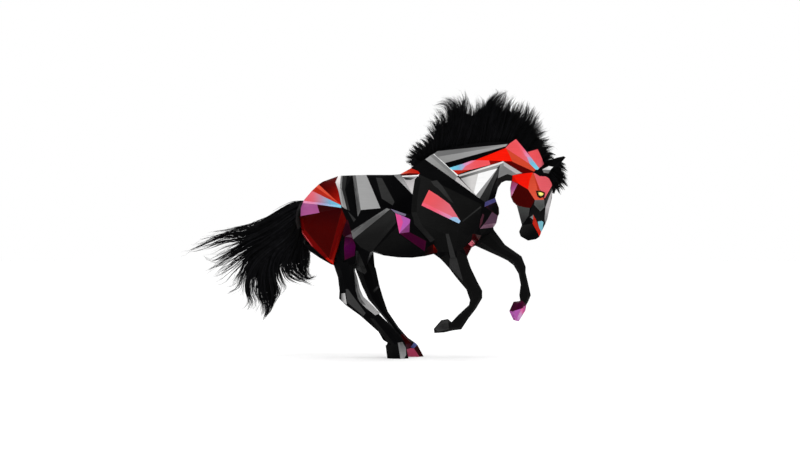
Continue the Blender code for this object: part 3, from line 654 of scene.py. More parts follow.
@dataclass
class PanelShell:
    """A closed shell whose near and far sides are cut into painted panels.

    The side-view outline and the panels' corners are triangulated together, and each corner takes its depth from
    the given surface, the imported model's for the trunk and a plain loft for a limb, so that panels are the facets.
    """

    name: str
    outline: list[Vector]
    base: Panel
    panels: tuple[Panel, ...]
    surface: BVHTree
    lines: list[list[Vector]] = field(default_factory=list)
    avoid: tuple[Vector, float] | None = None
    first_tag: int = 0
    rim_inset: float = 0.003
    snap: float = 0.0035
    thinnest: float = 0.004
    longest_edge: float = 0.045
    inset_steps: int = 40
    search_steps: int = 4
    splits: int = 6

    def nearest(self, point: Vector) -> Vector:
        """The spot of the surface that is nearest to a side-view point, at the depth of its edge.

        Args:
            point: the side-view point.

        Returns:
            The spot.
        """
        spot = Vector((point.x, 0.0, point.y))
        for _ in range(self.search_steps):
            spot = self.surface.find_nearest(Vector((point.x, spot.y, point.y)))[0]
        return spot

    def depth(self, point: Vector, inward: Vector, side: int) -> float:
        """The depth of the shell at a corner.

        Args:
            point: the side-view corner.
            inward: where to look if the corner lies on or past the outline.
            side: -1 for the near side, 1 for the far side.

        Returns:
            The y of the corner.
        """
        if self.avoid and (point - self.avoid[0]).length < self.avoid[1]:
            away = (point - self.avoid[0]).normalized() if (point - self.avoid[0]).length else Vector((1, 0))
            point = self.avoid[0] + away * self.avoid[1]
        spot = self.nearest(point)
        for way in (inward, (Vector((spot.x, spot.z)) - point).normalized()):
            for step in range(self.inset_steps):
                found = cast(self.surface, point + way * (self.rim_inset * step), side)
                if found is not None:
                    return found
        return spot.y

    def cut(self) -> tuple[list[Vector], list[tuple[int, ...]], list[tuple[int, int]]]:
        """Triangulates the side view.

        Returns:
            The side-view points, the triangles, and each triangle's near and far panel tags.
        """
        loops = [self.outline] + [drawn(panel.corners) for panel in self.panels]
        points: list[Vector] = []
        edges: list[tuple[int, int]] = []
        for loop in loops:
            first = len(points)
            edges += [(first + k, first + (k + 1) % len(loop)) for k in range(len(loop))]
            points += loop
        for line in self.lines:
            edges += [(len(points) + k, len(points) + k + 1) for k in range(len(line) - 1)]
            points += line
        made, _, triangles, _, _, _ = delaunay_2d_cdt(points, edges, [], 0, self.snap, False)
        made = [Vector(point) for point in made]
        kept, tags = [], []
        for a, b, c in triangles:
            middle = (made[a] + made[b] + made[c]) / 3.0
            inside = [index for index, loop in enumerate(loops) if holds(loop, middle)]
            if inside:
                far = max([index for index in inside if index == 0 or self.panels[index - 1].far], default=0)
                kept.append((a, b, c))
                tags.append((self.first_tag + max(inside), self.first_tag + far))
        return made, kept, tags

    def build(self) -> bmesh.types.BMesh:
        """Makes the closed shell.

        Returns:
            The mesh, with the layer "panel" on its faces.
        """
        points, triangles, tags = self.cut()
        uses: Counter[frozenset[int]] = Counter()
        inward = [Vector((0.0, 0.0)) for _ in points]
        for a, b, c in triangles:
            middle = (points[a] + points[b] + points[c]) / 3.0
            for start, end in ((a, b), (b, c), (c, a)):
                uses[frozenset((start, end))] += 1
                inward[start] += middle - points[start]
        rim = {end for edge, count in uses.items() if count == 1 for end in edge}
        shell = bmesh.new()
        layer = shell.faces.layers.int.new("panel")
        used = {index for triangle in triangles for index in triangle}
        near, far, middle_row = {}, {}, {}
        for index in used:
            point = points[index]
            way = inward[index].normalized() if inward[index].length > TINY else Vector((0.0, 0.0))
            sample = point + way * self.rim_inset if index in rim else point
            depths = [self.depth(sample, way, side) for side in (-1, 1)]
            centre = sum(depths) / 2.0
            if depths[1] - depths[0] < self.thinnest:
                depths = [centre - self.thinnest / 2.0, centre + self.thinnest / 2.0]
            near[index], far[index] = (shell.verts.new((point.x, depth, point.y)) for depth in depths)
            if index in rim:
                middle_row[index] = shell.verts.new((point.x, sum(depths) / 2.0, point.y))
        for (a, b, c), (near_tag, far_tag) in zip(triangles, tags):
            if (points[b] - points[a]).cross(points[c] - points[a]) < 0:
                a, b = b, a
            faces = [((near[a], near[b], near[c]), near_tag), ((far[b], far[a], far[c]), far_tag)]
            for start, end in ((a, b), (b, c), (c, a)):
                if uses[frozenset((start, end))] == 1:
                    faces.append(((near[end], near[start], middle_row[start], middle_row[end]), near_tag))
                    faces.append(((middle_row[end], middle_row[start], far[start], far[end]), far_tag))
            for corners, tag in faces:
                shell.faces.new(corners)[layer] = tag
        for _ in range(self.splits):
            long_edges = [edge for edge in shell.edges if edge.calc_length() > self.longest_edge]
            if not long_edges:
                break
            bmesh.ops.subdivide_edges(shell, edges=long_edges, cuts=1)
            bmesh.ops.triangulate(shell, faces=shell.faces[:])
        bmesh.ops.triangulate(shell, faces=shell.faces[:])
        bmesh.ops.recalc_face_normals(shell, faces=shell.faces[:])
        if shell.calc_volume(signed=True) < 0:
            bmesh.ops.reverse_faces(shell, faces=shell.faces[:])
        return shell


def put(name: str, data: bpy.types.ID) -> bpy.types.Object:
    """Puts data into the scene as an object at the origin.

    Args:
        name: the object's name.
        data: a mesh, a camera or a lamp.

    Returns:
        The object.
    """
    made = bpy.data.objects.new(name, data)
    bpy.context.scene.collection.objects.link(made)
    return made


def mesh_object(name: str, shape: bmesh.types.BMesh, *materials: bpy.types.Material) -> bpy.types.Object:
    """Puts a bmesh into the scene as an object at the origin, with its materials.

    Args:
        name: the object's name.
        shape: the bmesh, which is freed.
        materials: its materials, in the order of their slots.

    Returns:
        The object.
    """
    mesh = bpy.data.meshes.new(name)
    shape.to_mesh(mesh)
    shape.free()
    for material in materials:
        mesh.materials.append(material)
    return put(name, mesh)


def evaluated(made: bpy.types.Object) -> bpy.types.Mesh:
    """The plain mesh of an object with its modifiers, which are removed.

    Args:
        made: the object.

    Returns:
        The mesh.
    """
    result = bpy.data.meshes.new_from_object(made.evaluated_get(bpy.context.evaluated_depsgraph_get()))
    made.modifiers.clear()
    return result


def joined(whole: bpy.types.Object, part: bpy.types.Object) -> bpy.types.Object:
    """Unites part with whole by an exact Boolean, and removes part.

    Args:
        whole: the object that stays.
        part: the object that goes.

    Returns:
        The object that stays.
    """
    modifier = whole.modifiers.new("join", "BOOLEAN")
    modifier.operation, modifier.solver, modifier.object = "UNION", "EXACT", part
    whole.data = evaluated(whole)
    bpy.data.objects.remove(part)
    return whole


def hand_over(piece: bpy.types.Object, replaced: str = "") -> None:
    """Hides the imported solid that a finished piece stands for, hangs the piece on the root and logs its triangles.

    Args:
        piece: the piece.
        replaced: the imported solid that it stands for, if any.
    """
    if replaced:
        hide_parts(replaced)
    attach(piece, "root")
    LOG.info("%s: %d triangles", piece.name, sum(len(face.vertices) - 2 for face in piece.data.polygons))


Input = bpy.types.NodeSocket | float | str | tuple[float, ...]


def feed(made: bpy.types.Node, inputs: dict[str | int, Input]) -> bpy.types.Node:
    """Links each socket that is given to an input of a node, and sets each other value that is given.

    Args:
        made: the node.
        inputs: what each input gets, by its name or place.

    Returns:
        The node.
    """
    for key, value in inputs.items():
        if isinstance(value, bpy.types.NodeSocket):
            made.id_data.links.new(value, made.inputs[key])
        else:
            made.inputs[key].default_value = value
    return made


def node(
    tree: bpy.types.NodeTree, kind: str, inputs: dict[str | int, Input] | None = None, **settings: object
) -> bpy.types.Node:
    """Adds a node of a kind, sets its properties and feeds its inputs.

    Args:
        tree: the tree.
        kind: the kind of node.
        inputs: what each input gets, by its name or place.
        settings: its properties.

    Returns:
        The node.
    """
    made = tree.nodes.new(kind)
    for name, value in settings.items():
        setattr(made, name, value)
    return feed(made, inputs or {})


def result(tree: bpy.types.NodeTree, kind: str, inputs: dict[str | int, Input], **settings: object) -> Input:
    """The first output of a new node."""
    return node(tree, kind, inputs, **settings).outputs[0]


def maths(tree: bpy.types.NodeTree, operation: str, *terms: Input, clamp: bool = False) -> Input:
    """The outcome of a Math node on sockets and numbers."""
    return result(tree, "ShaderNodeMath", dict(enumerate(terms)), operation=operation, use_clamp=clamp)


def vectors(tree: bpy.types.NodeTree, operation: str, first: Input, second: Input) -> Input:
    """The outcome of a Vector Math node. The second term of SCALE is a number."""
    place = "Scale" if operation == "SCALE" else 1
    return result(tree, "ShaderNodeVectorMath", {0: first, place: second}, operation=operation)


def spread_over(tree: bpy.types.NodeTree, value: Input, low: Input, high: Input) -> Input:
    """A value from 0 to 1, spread over the range from low to high."""
    return result(tree, "ShaderNodeMapRange", {"Value": value, "To Min": low, "To Max": high})


def noise(tree: bpy.types.NodeTree, place: Input, scale: float, detail: float) -> bpy.types.NodeOutputs:
    """The outputs of a noise texture at a place."""
    return node(tree, "ShaderNodeTexNoise", {"Vector": place, "Scale": scale, "Detail": detail}).outputs


def coordinates(tree: bpy.types.NodeTree) -> Input:
    """The object coordinates."""
    return node(tree, "ShaderNodeTexCoord").outputs["Object"]


def blend(tree: bpy.types.NodeTree, factor: Input, first: Input, second: Input) -> Input:
    """The mix of two colours."""
    inputs = {"Factor": factor, "A": first, "B": second}
    return node(tree, "ShaderNodeMix", inputs, data_type="RGBA").outputs["Result"]


def new_material(name: str) -> tuple[bpy.types.Material, bpy.types.NodeTree, bpy.types.Node]:
    """Starts a material.

    Args:
        name: the material's name.

    Returns:
        The material, its tree and its shader.
    """
    made = bpy.data.materials.new(name)
    made.use_nodes = True
    return made, made.node_tree, made.node_tree.nodes["Principled BSDF"]


COLOUR, FLOAT = "NodeSocketColor", "NodeSocketFloat"


@dataclass
class EffectGroups:
    """The shader effects that the finishes share."""

    streak_turn: Triple = (0.0, 0.55, 0.0)
    streak_scale: Triple = (9.0, 4.0, 150.0)
    mottle_scale: float = 7.0
    peel_scale: float = 160.0
    grain_share: float = 0.6
    chip_scale: float = 38.0
    edge_sharpness: float = 3.0
    dust_scale: float = 24.0
    dust_slope: float = 0.35
    dust_colour: tuple[float, ...] = (0.42, 0.40, 0.37, 1.0)
    grain: bpy.types.NodeTree = field(init=False)
    wear_and_highlight: bpy.types.NodeTree = field(init=False)

    def __post_init__(self) -> None:
        """Builds each group once."""
        self.grain = self.build_grain()
        self.wear_and_highlight = self.build_wear_and_highlight()

    @staticmethod
    def start(
        name: str, inputs: dict[str, float | tuple[float, ...]], outputs: dict[str, str]
    ) -> tuple[bpy.types.NodeTree, bpy.types.NodeOutputs]:
        """Makes an empty group with its sockets.

        Args:
            name: the group's name.
            inputs: each input's first value.
            outputs: each output's socket type.

        Returns:
            The group, and the sockets that carry its inputs.
        """
        group = bpy.data.node_groups.new(name, "ShaderNodeTree")
        for label, value in inputs.items():
            kind = COLOUR if isinstance(value, tuple) else FLOAT
            group.interface.new_socket(name=label, in_out="INPUT", socket_type=kind).default_value = value
        for label, kind in outputs.items():
            group.interface.new_socket(name=label, in_out="OUTPUT", socket_type=kind)
        return group, node(group, "NodeGroupInput").outputs

    def build_grain(self) -> bpy.types.NodeTree:
        """Brushed streaks, mottling and orange peel of a sprayed lacquer.

        Returns:
            The group.
        """
        group, given = self.start(
            "lacquer grain",
            {"Colour": (0.5, 0.5, 0.5, 1.0), "Streak": 0.2, "Mottle": 0.1, "Roughness": 0.3},
            {"Colour": COLOUR, "Roughness": FLOAT, "Height": FLOAT},
        )
        place = coordinates(group)
        turn = {"Vector": place, "Rotation": self.streak_turn, "Scale": self.streak_scale}
        streaks = noise(group, result(group, "ShaderNodeMapping", turn), 1.0, 3.0)["Fac"]
        mottle = noise(group, place, self.mottle_scale, 4.0)["Fac"]
        peel = noise(group, place, self.peel_scale, 2.0)["Fac"]
        streak = maths(group, "MULTIPLY", maths(group, "SUBTRACT", streaks, 0.5), given["Streak"])
        blotch = maths(group, "MULTIPLY", maths(group, "SUBTRACT", mottle, 0.5), given["Mottle"])
        total = maths(group, "ADD", streak, blotch)
        outputs = {
            "Colour": vectors(group, "SCALE", given["Colour"], maths(group, "ADD", total, 1.0)),
            "Roughness": maths(group, "MULTIPLY_ADD", total, self.grain_share, given["Roughness"], clamp=True),
            "Height": maths(group, "MULTIPLY_ADD", streak, self.grain_share, peel),
        }
        node(group, "NodeGroupOutput", outputs)
        return group

    def build_wear_and_highlight(self) -> bpy.types.NodeTree:
        """Lighter, chipped panel borders, partly rubbed edges and partly a painted edge highlight, and dust on what
        faces up.

        Returns:
            The group.
        """
        group, given = self.start(
            "edge wear and dust",
            {"Colour": (0.5, 0.5, 0.5, 1.0), "Worn and lit": (0.6, 0.6, 0.6, 1.0), "Wear and highlight": 0.2, "Dust": 0.05},
            {"Colour": COLOUR},
        )
        place = coordinates(group)
        border = node(group, "ShaderNodeAttribute", attribute_name="border").outputs["Fac"]
        chips = noise(group, place, self.chip_scale, 5.0)["Fac"]
        # Lightens the panel borders towards the worn colour, broken up by chips: partly rubbed edges, partly a painted
        # edge highlight.
        chipped_and_highlit = maths(group, "MULTIPLY", maths(group, "POWER", border, self.edge_sharpness), chips)
        wear_and_highlight = maths(group, "MULTIPLY", chipped_and_highlit, given["Wear and highlight"], clamp=True)
        split = node(group, "ShaderNodeSeparateXYZ", {0: node(group, "ShaderNodeNewGeometry").outputs["Normal"]})
        up = result(group, "ShaderNodeMapRange", {"Value": split.outputs["Z"], "From Min": self.dust_slope})
        dusty = maths(group, "MULTIPLY", up, noise(group, place, self.dust_scale, 6.0)["Fac"])
        dust = maths(group, "MULTIPLY", dusty, given["Dust"], clamp=True)
        worn_and_lit = blend(group, wear_and_highlight, given["Colour"], given["Worn and lit"])
        node(group, "NodeGroupOutput", {"Colour": blend(group, dust, worn_and_lit, self.dust_colour)})
        return group


@dataclass(frozen=True)
class Lacquer:
    """One sprayed and polished lacquer, whose paint comes from the shell's attribute "paint"."""

    name: str
    roughness: float
    specular: float
    coat: float
    coat_roughness: float
    streak: float
    mottle: float
    # wear and worn lighten the panel borders: partly rubbed edges, partly a painted edge highlight.
    wear_and_highlight: float
    worn_and_lit: Triple
    dust: float
    peel_depth: float = 0.0004
    paint: Triple | None = None
    peel_strength: float = 0.35

    def material(self, effects: EffectGroups) -> bpy.types.Material:
        """Builds the material.

        Args:
            effects: the shared effect groups.

        Returns:
            The material.
        """
        made, tree, shader = new_material(self.name)
        own = (*self.paint, 1.0) if self.paint else None
        colour = own or node(tree, "ShaderNodeAttribute", attribute_name="paint").outputs["Color"]
        inputs = {"Colour": colour, "Streak": self.streak, "Mottle": self.mottle, "Roughness": self.roughness}
        grain = node(tree, "ShaderNodeGroup", inputs, node_tree=effects.grain).outputs
        inputs = {"Colour": grain["Colour"], "Wear and highlight": self.wear_and_highlight, "Worn and lit": (*self.worn_and_lit, 1.0), "Dust": self.dust}
        wear_and_highlight = node(tree, "ShaderNodeGroup", inputs, node_tree=effects.wear_and_highlight).outputs
        inputs = {"Distance": self.peel_depth, "Strength": self.peel_strength, "Height": grain["Height"]}
        feed(
            shader,
            {
                "Base Color": wear_and_highlight["Colour"],
                "Roughness": grain["Roughness"],
                "Normal": result(tree, "ShaderNodeBump", inputs),
                "Specular IOR Level": self.specular,
                "Coat Weight": self.coat,
                "Coat Roughness": self.coat_roughness,
            },
        )
        return made


# One for each Finish, in its order.
# The worn colours, lighter than the paints, also paint a highlight along the panel borders.
LACQUERS = (
    Lacquer("black lacquer", 0.36, 0.004, 0.004, 0.12, 0.5, 0.6, 0.03, (0.015, 0.015, 0.015), 0.002),
    Lacquer("charcoal satin", 0.42, 0.008, 0.006, 0.2, 0.5, 0.4, 0.05, (0.04, 0.04, 0.04), 0.004),
    Lacquer("silver pearl", 0.38, 0.08, 0.04, 0.15, 0.16, 0.12, 0.12, (0.6, 0.6, 0.6), 0.02),
    Lacquer("candy red", 0.30, 0.006, 0.008, 0.08, 0.25, 0.25, 0.06, (0.40, 0.05, 0.03), 0.002),
    Lacquer("pearl colour", 0.32, 0.03, 0.03, 0.10, 0.14, 0.12, 0.08, (0.60, 0.36, 0.42), 0.006),
)
LID_PAINT = (0.0012, 0.0012, 0.0012)
LID_LACQUER = Lacquer("black lid", 0.30, 0.05, 0.04, 0.06, 0.3, 0.4, 0.0, (0.05, 0.05, 0.05), 0.0, 0.0002, LID_PAINT)


@dataclass
class FacetedBody:
    """The one-piece shell: trunk, neck and head as one panelled shell, with four legs and two ears joined on."""

    crease_angle: float = math.radians(38)
    eye_spot: Point2 = (540.2, 194.0)
    eye_clear: float = 0.034

    def parts(self) -> list[PanelShell]:
        """The shells that the body is joined from.

        Returns:
            The trunk first, then the limbs and ears.
        """
        trunk = PanelShell(
            "trunk",
            drawn(TRUNK_OUTLINE),
            Panel("night trunk", BLACK, (P.NIGHT,)),
            BARREL + HAUNCH + SHOULDER + NECK + HEAD,
            surface_of(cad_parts["body"]),
            avoid=(on_side(*self.eye_spot), self.eye_clear),
        )
        limbs = (RIGHT_HIND, LEFT_HIND, RIGHT_FORE, LEFT_FORE, ear("right ear", -1), ear("left ear", 1))
        shells = [trunk] + [
            PanelShell(limb.name, limb.outline(), limb.base, limb.panels, limb.surface(), limb.lines())
            for limb in limbs
        ]
        tag = 0
        for shell in shells:
            shell.first_tag = tag
            tag += len(shell.panels) + 1
        return shells

    def seams(self, mesh: bpy.types.Mesh, tags: list[int]) -> set[int]:
        """Marks the edges between panels and the bent ones sharp.

        Args:
            mesh: the body's mesh.
            tags: each face's panel tag.

        Returns:
            The corners that lie on a sharp edge.
        """
        shape = bmesh.new()
        shape.from_mesh(mesh)
        border = set()
        for edge in shape.edges:
            faces = edge.link_faces
            sharp = len(faces) == 2 and (
                tags[faces[0].index] != tags[faces[1].index] or edge.calc_face_angle(0.0) > self.crease_angle
            )
            mesh.edges[edge.index].use_edge_sharp = sharp
            if sharp:
                border.update(vertex.index for vertex in edge.verts)
        shape.free()
        return border

    def paint(self, made: bpy.types.Object, shells: list[PanelShell]) -> None:
        """Gives every face its finish and every corner its paint and border mask.

        Args:
            made: the joined body.
            shells: the shells that the tags come from.
        """
        table = [panel for shell in shells for panel in (shell.base, *shell.panels)]
        mesh = made.data
        tags = [0] * len(mesh.polygons)
        mesh.attributes["panel"].data.foreach_get("value", tags)
        border = self.seams(mesh, tags)
        colours, borders = [], []
        found: dict[tuple[int, int], tuple[float, ...]] = {}
        for face, tag in zip(mesh.polygons, tags):
            face.material_index = table[tag].finish.value
            face.use_smooth = True
            for vertex in face.vertices:
                if (tag, vertex) not in found:
                    place = mesh.vertices[vertex].co
                    found[tag, vertex] = (*table[tag].colour(Vector((place.x, place.z))), 1.0)
                colours.extend(found[tag, vertex])
                borders.append(1.0 if vertex in border else 0.0)
        mesh.color_attributes.new("paint", "FLOAT_COLOR", "CORNER").data.foreach_set("color", colours)
        mesh.attributes.new("border", "FLOAT", "CORNER").data.foreach_set("value", borders)
        mesh.color_attributes.active_color = mesh.color_attributes["paint"]

    def build(self, effects: EffectGroups) -> bpy.types.Object:
        """Makes, joins and paints the body.

        Args:
            effects: the shared effect groups.

        Returns:
            The body piece.
        """
        shells = self.parts()
        materials = [lacquer.material(effects) for lacquer in LACQUERS]
        whole = None
        for shell in shells:
            part = mesh_object(shell.name, shell.build(), *materials)
            LOG.info("%s: %d triangles", shell.name, len(part.data.polygons))
            whole = part if whole is None else joined(whole, part)
        whole.name = "faceted_body"
        self.paint(whole, shells)
        hand_over(whole, "body")
        return whole


@dataclass(frozen=True)
class HairFinish:
    """Black horse hair, with a tint of its own on every strand."""

    name: str
    dark: Triple = (0.0008, 0.0008, 0.0009)
    light: Triple = (0.018, 0.018, 0.021)
    roughness: Point2 = (0.38, 0.58)
    specular: float = 0.035
    band_scale: float = 26.0
    band_depth: float = 0.0006
    band_strength: float = 0.3

    def material(self) -> bpy.types.Material:
        """Builds the material.

        Returns:
            The material.
        """
        made, tree, shader = new_material(self.name)
        tint = node(tree, "ShaderNodeAttribute", attribute_name="tint").outputs["Fac"]
        bands = noise(tree, coordinates(tree), self.band_scale, 3.0)["Fac"]
        bump = {"Distance": self.band_depth, "Strength": self.band_strength, "Height": bands}
        factor = maths(tree, "MULTIPLY", tint, bands)
        feed(
            shader,
            {
                "Base Color": blend(tree, factor, (*self.dark, 1.0), (*self.light, 1.0)),
                "Roughness": spread_over(tree, bands, *self.roughness),
                "Normal": result(tree, "ShaderNodeBump", bump),
                "Specular IOR Level": self.specular,
            },
        )
        return made


class StrandTree:
    """The Geometry Nodes tree that grows a bundle of tapered strands round every guide."""

    INPUTS = (
        ("Strands", "NodeSocketInt", 20),
        ("Points", "NodeSocketInt", 10),
        ("Spread", "NodeSocketVector", (0.02, 0.02, 0.02)),
        ("Tip spread", FLOAT, 0.15),
        ("Thickness", FLOAT, 0.0013),
        ("Wave", FLOAT, 0.02),
        ("Wave rate", FLOAT, 7.0),
        ("Own wave", FLOAT, 0.5),
        ("Shortest", FLOAT, 0.7),
        ("Seed", "NodeSocketInt", 1),
        ("Material", "NodeSocketMaterial", None),
    )
    NARROWING_POWER = 1.6
    TAPER_POWER = 2.2
    TIP_THICKNESS = 0.12
    SIDES = 3
    LENGTH_SEED = 7
    TINT_SEED = 13

    def __init__(self) -> None:
        """Builds the tree and keeps the identifier of every input."""
        self.tree = tree = bpy.data.node_groups.new("hair strands", "GeometryNodeTree")
        for way in ("INPUT", "OUTPUT"):
            tree.interface.new_socket(name="Geometry", in_out=way, socket_type="NodeSocketGeometry")
        self.identifiers = {}
        for label, kind, value in self.INPUTS:
            socket = tree.interface.new_socket(name=label, in_out="INPUT", socket_type=kind)
            if value is not None:
                socket.default_value = value
            self.identifiers[label] = socket.identifier
        self.given = node(tree, "NodeGroupInput").outputs
        self.grow()

    def per_strand(self, kind: str, low: float | Triple, high: float | Triple, offset: int) -> Input:
        """A random value that is the same along a strand.

        Args:
            kind: the value's data type.
            low: the lowest value.
            high: the highest value.
            offset: keeps this value apart from the others of the same strand.

        Returns:
            The socket that carries it.
        """
        tree = self.tree
        first, place = (0, 0) if kind == "FLOAT_VECTOR" else (2, 1)
        seed = result(tree, "FunctionNodeIntegerMath", {0: self.given["Seed"], 1: offset}, operation="ADD")
        index = result(tree, "GeometryNodeInputIndex", {})
        inputs = {first: low, first + 1: high, "ID": index, "Seed": seed}
        value = node(tree, "FunctionNodeRandomValue", inputs, data_type=kind).outputs[place]
        return result(tree, "GeometryNodeFieldOnDomain", {0: value}, data_type=kind, domain="CURVE")

    def grow(self) -> None:
        """Adds the nodes: guides to curves, bundles, spread, waves, uneven lengths, taper and tubes."""
        tree, given = self.tree, self.given
        curves = result(tree, "GeometryNodeMeshToCurve", {"Mesh": given["Geometry"]})
        curves = result(tree, "GeometryNodeResampleCurve", {"Curve": curves, "Count": given["Points"]})
        copies = {"Geometry": curves, "Amount": given["Strands"]}
        curves = result(tree, "GeometryNodeDuplicateElements", copies, domain="SPLINE")
        way = self.per_strand("FLOAT_VECTOR", (-1.0, -1.0, -1.0), (1.0, 1.0, 1.0), 0)
        along = result(tree, "GeometryNodeSplineParameter", {})
        bent = maths(tree, "POWER", along, self.NARROWING_POWER)
        spread = vectors(tree, "MULTIPLY", way, given["Spread"])
        spread = vectors(tree, "SCALE", spread, spread_over(tree, bent, 1.0, given["Tip spread"]))
        place = vectors(tree, "SCALE", result(tree, "GeometryNodeInputPosition", {}), given["Wave rate"])
        at = vectors(tree, "ADD", place, vectors(tree, "SCALE", way, given["Own wave"]))
        centred = vectors(tree, "SUBTRACT", noise(tree, at, 1.0, 1.5)["Color"], (0.5, 0.5, 0.5))
        waves = vectors(tree, "SCALE", centred, maths(tree, "MULTIPLY", along, given["Wave"]))
        moved = {"Geometry": curves, "Offset": vectors(tree, "ADD", spread, waves)}
        curves = result(tree, "GeometryNodeSetPosition", moved)
        length = self.per_strand("FLOAT", 0.0, 1.0, self.LENGTH_SEED)
        trim = {"Curve": curves, "End": spread_over(tree, length, given["Shortest"], 1.0)}
        curves = result(tree, "GeometryNodeTrimCurve", trim, mode="FACTOR")
        taper = maths(tree, "POWER", result(tree, "GeometryNodeSplineParameter", {}), self.TAPER_POWER)
        fine = spread_over(tree, taper, 1.0, self.TIP_THICKNESS)
        thick = maths(tree, "MULTIPLY", fine, given["Thickness"])
        tint = {"Geometry": curves, "Name": "tint", "Value": self.per_strand("FLOAT", 0.0, 1.0, self.TINT_SEED)}
        curves = result(tree, "GeometryNodeStoreNamedAttribute", tint, data_type="FLOAT", domain="CURVE")
        circle = {"Resolution": self.SIDES, "Radius": 1.0}
        ring = result(tree, "GeometryNodeCurvePrimitiveCircle", circle, mode="RADIUS")
        tubes = {"Curve": curves, "Profile Curve": ring, "Scale": thick, "Fill Caps": True}
        mesh = result(tree, "GeometryNodeCurveToMesh", tubes)
        mesh = result(tree, "GeometryNodeSetShadeSmooth", {"Geometry": mesh})
        mesh = result(tree, "GeometryNodeRealizeInstances", {"Geometry": mesh})
        mesh = result(tree, "GeometryNodeSetMaterial", {"Geometry": mesh, "Material": given["Material"]})
        node(tree, "NodeGroupOutput", {"Geometry": mesh})

    def run(self, name: str, guides: list[list[Vector]], settings: dict[str, object]) -> bpy.types.Object:
        """Grows strands round the guides and keeps them as a plain mesh.

        Args:
            name: the piece's name.
            guides: each guide's points from root to tip.
            settings: the value of each input by its label.

        Returns:
            The piece.
        """
        points, edges = [], []
        for guide in guides:
            edges += [(len(points) + k, len(points) + k + 1) for k in range(len(guide) - 1)]
            points += guide
        mesh = bpy.data.meshes.new(name + "_guides")
        mesh.from_pydata(points, edges, [])
        holder = put(name + "_guides", mesh)
        modifier = holder.modifiers.new("strands", "NODES")
        modifier.node_group = self.tree
        for label, value in settings.items():
            modifier[self.identifiers[label]] = value
        grown = evaluated(holder)
        bpy.data.objects.remove(holder)
        return put(name, grown)


def through(points: list[Vector], share: float) -> Vector:
    """The point at a share of the way along a smooth curve through points.

    Args:
        points: what the curve runs through.
        share: how far along it, from 0 to 1.

    Returns:
        The point.
    """
    place = min(max(share, 0.0), 1.0) * (len(points) - 1)
    step = min(int(place), len(points) - 2)
    part = place - step
    a = points[max(step - 1, 0)]
    b, c = points[step], points[step + 1]
    d = points[min(step + 2, len(points) - 1)]
    return 0.5 * (2 * b + (c - a) * part + (2 * a - 5 * b + 4 * c - d) * part**2 + (3 * b - a - 3 * c + d) * part**3)


@dataclass(frozen=True)
class Growth:
    """One kind of strand of a hair piece, and how its bundles follow the locks.

    guides are bundles in all, and gather draws their ends to the locks. reach is how much of a lock they follow.
    Each guide swings to its two sides by up to swing, bends times along its lock. span is the part of the row of
    locks that has this growth.
    """

    name: str
    guides: int
    strands: int
    points: int
    thickness: float
    spread: float
    tip_spread: float
    wave: float
    wave_rate: float
    own_wave: float
    shortest: float
    reach: Point2
    gather: float = 1.0
    swing: float = 0.0
    bends: float = 0.0
    span: Point2 = (0.0, 1.0)


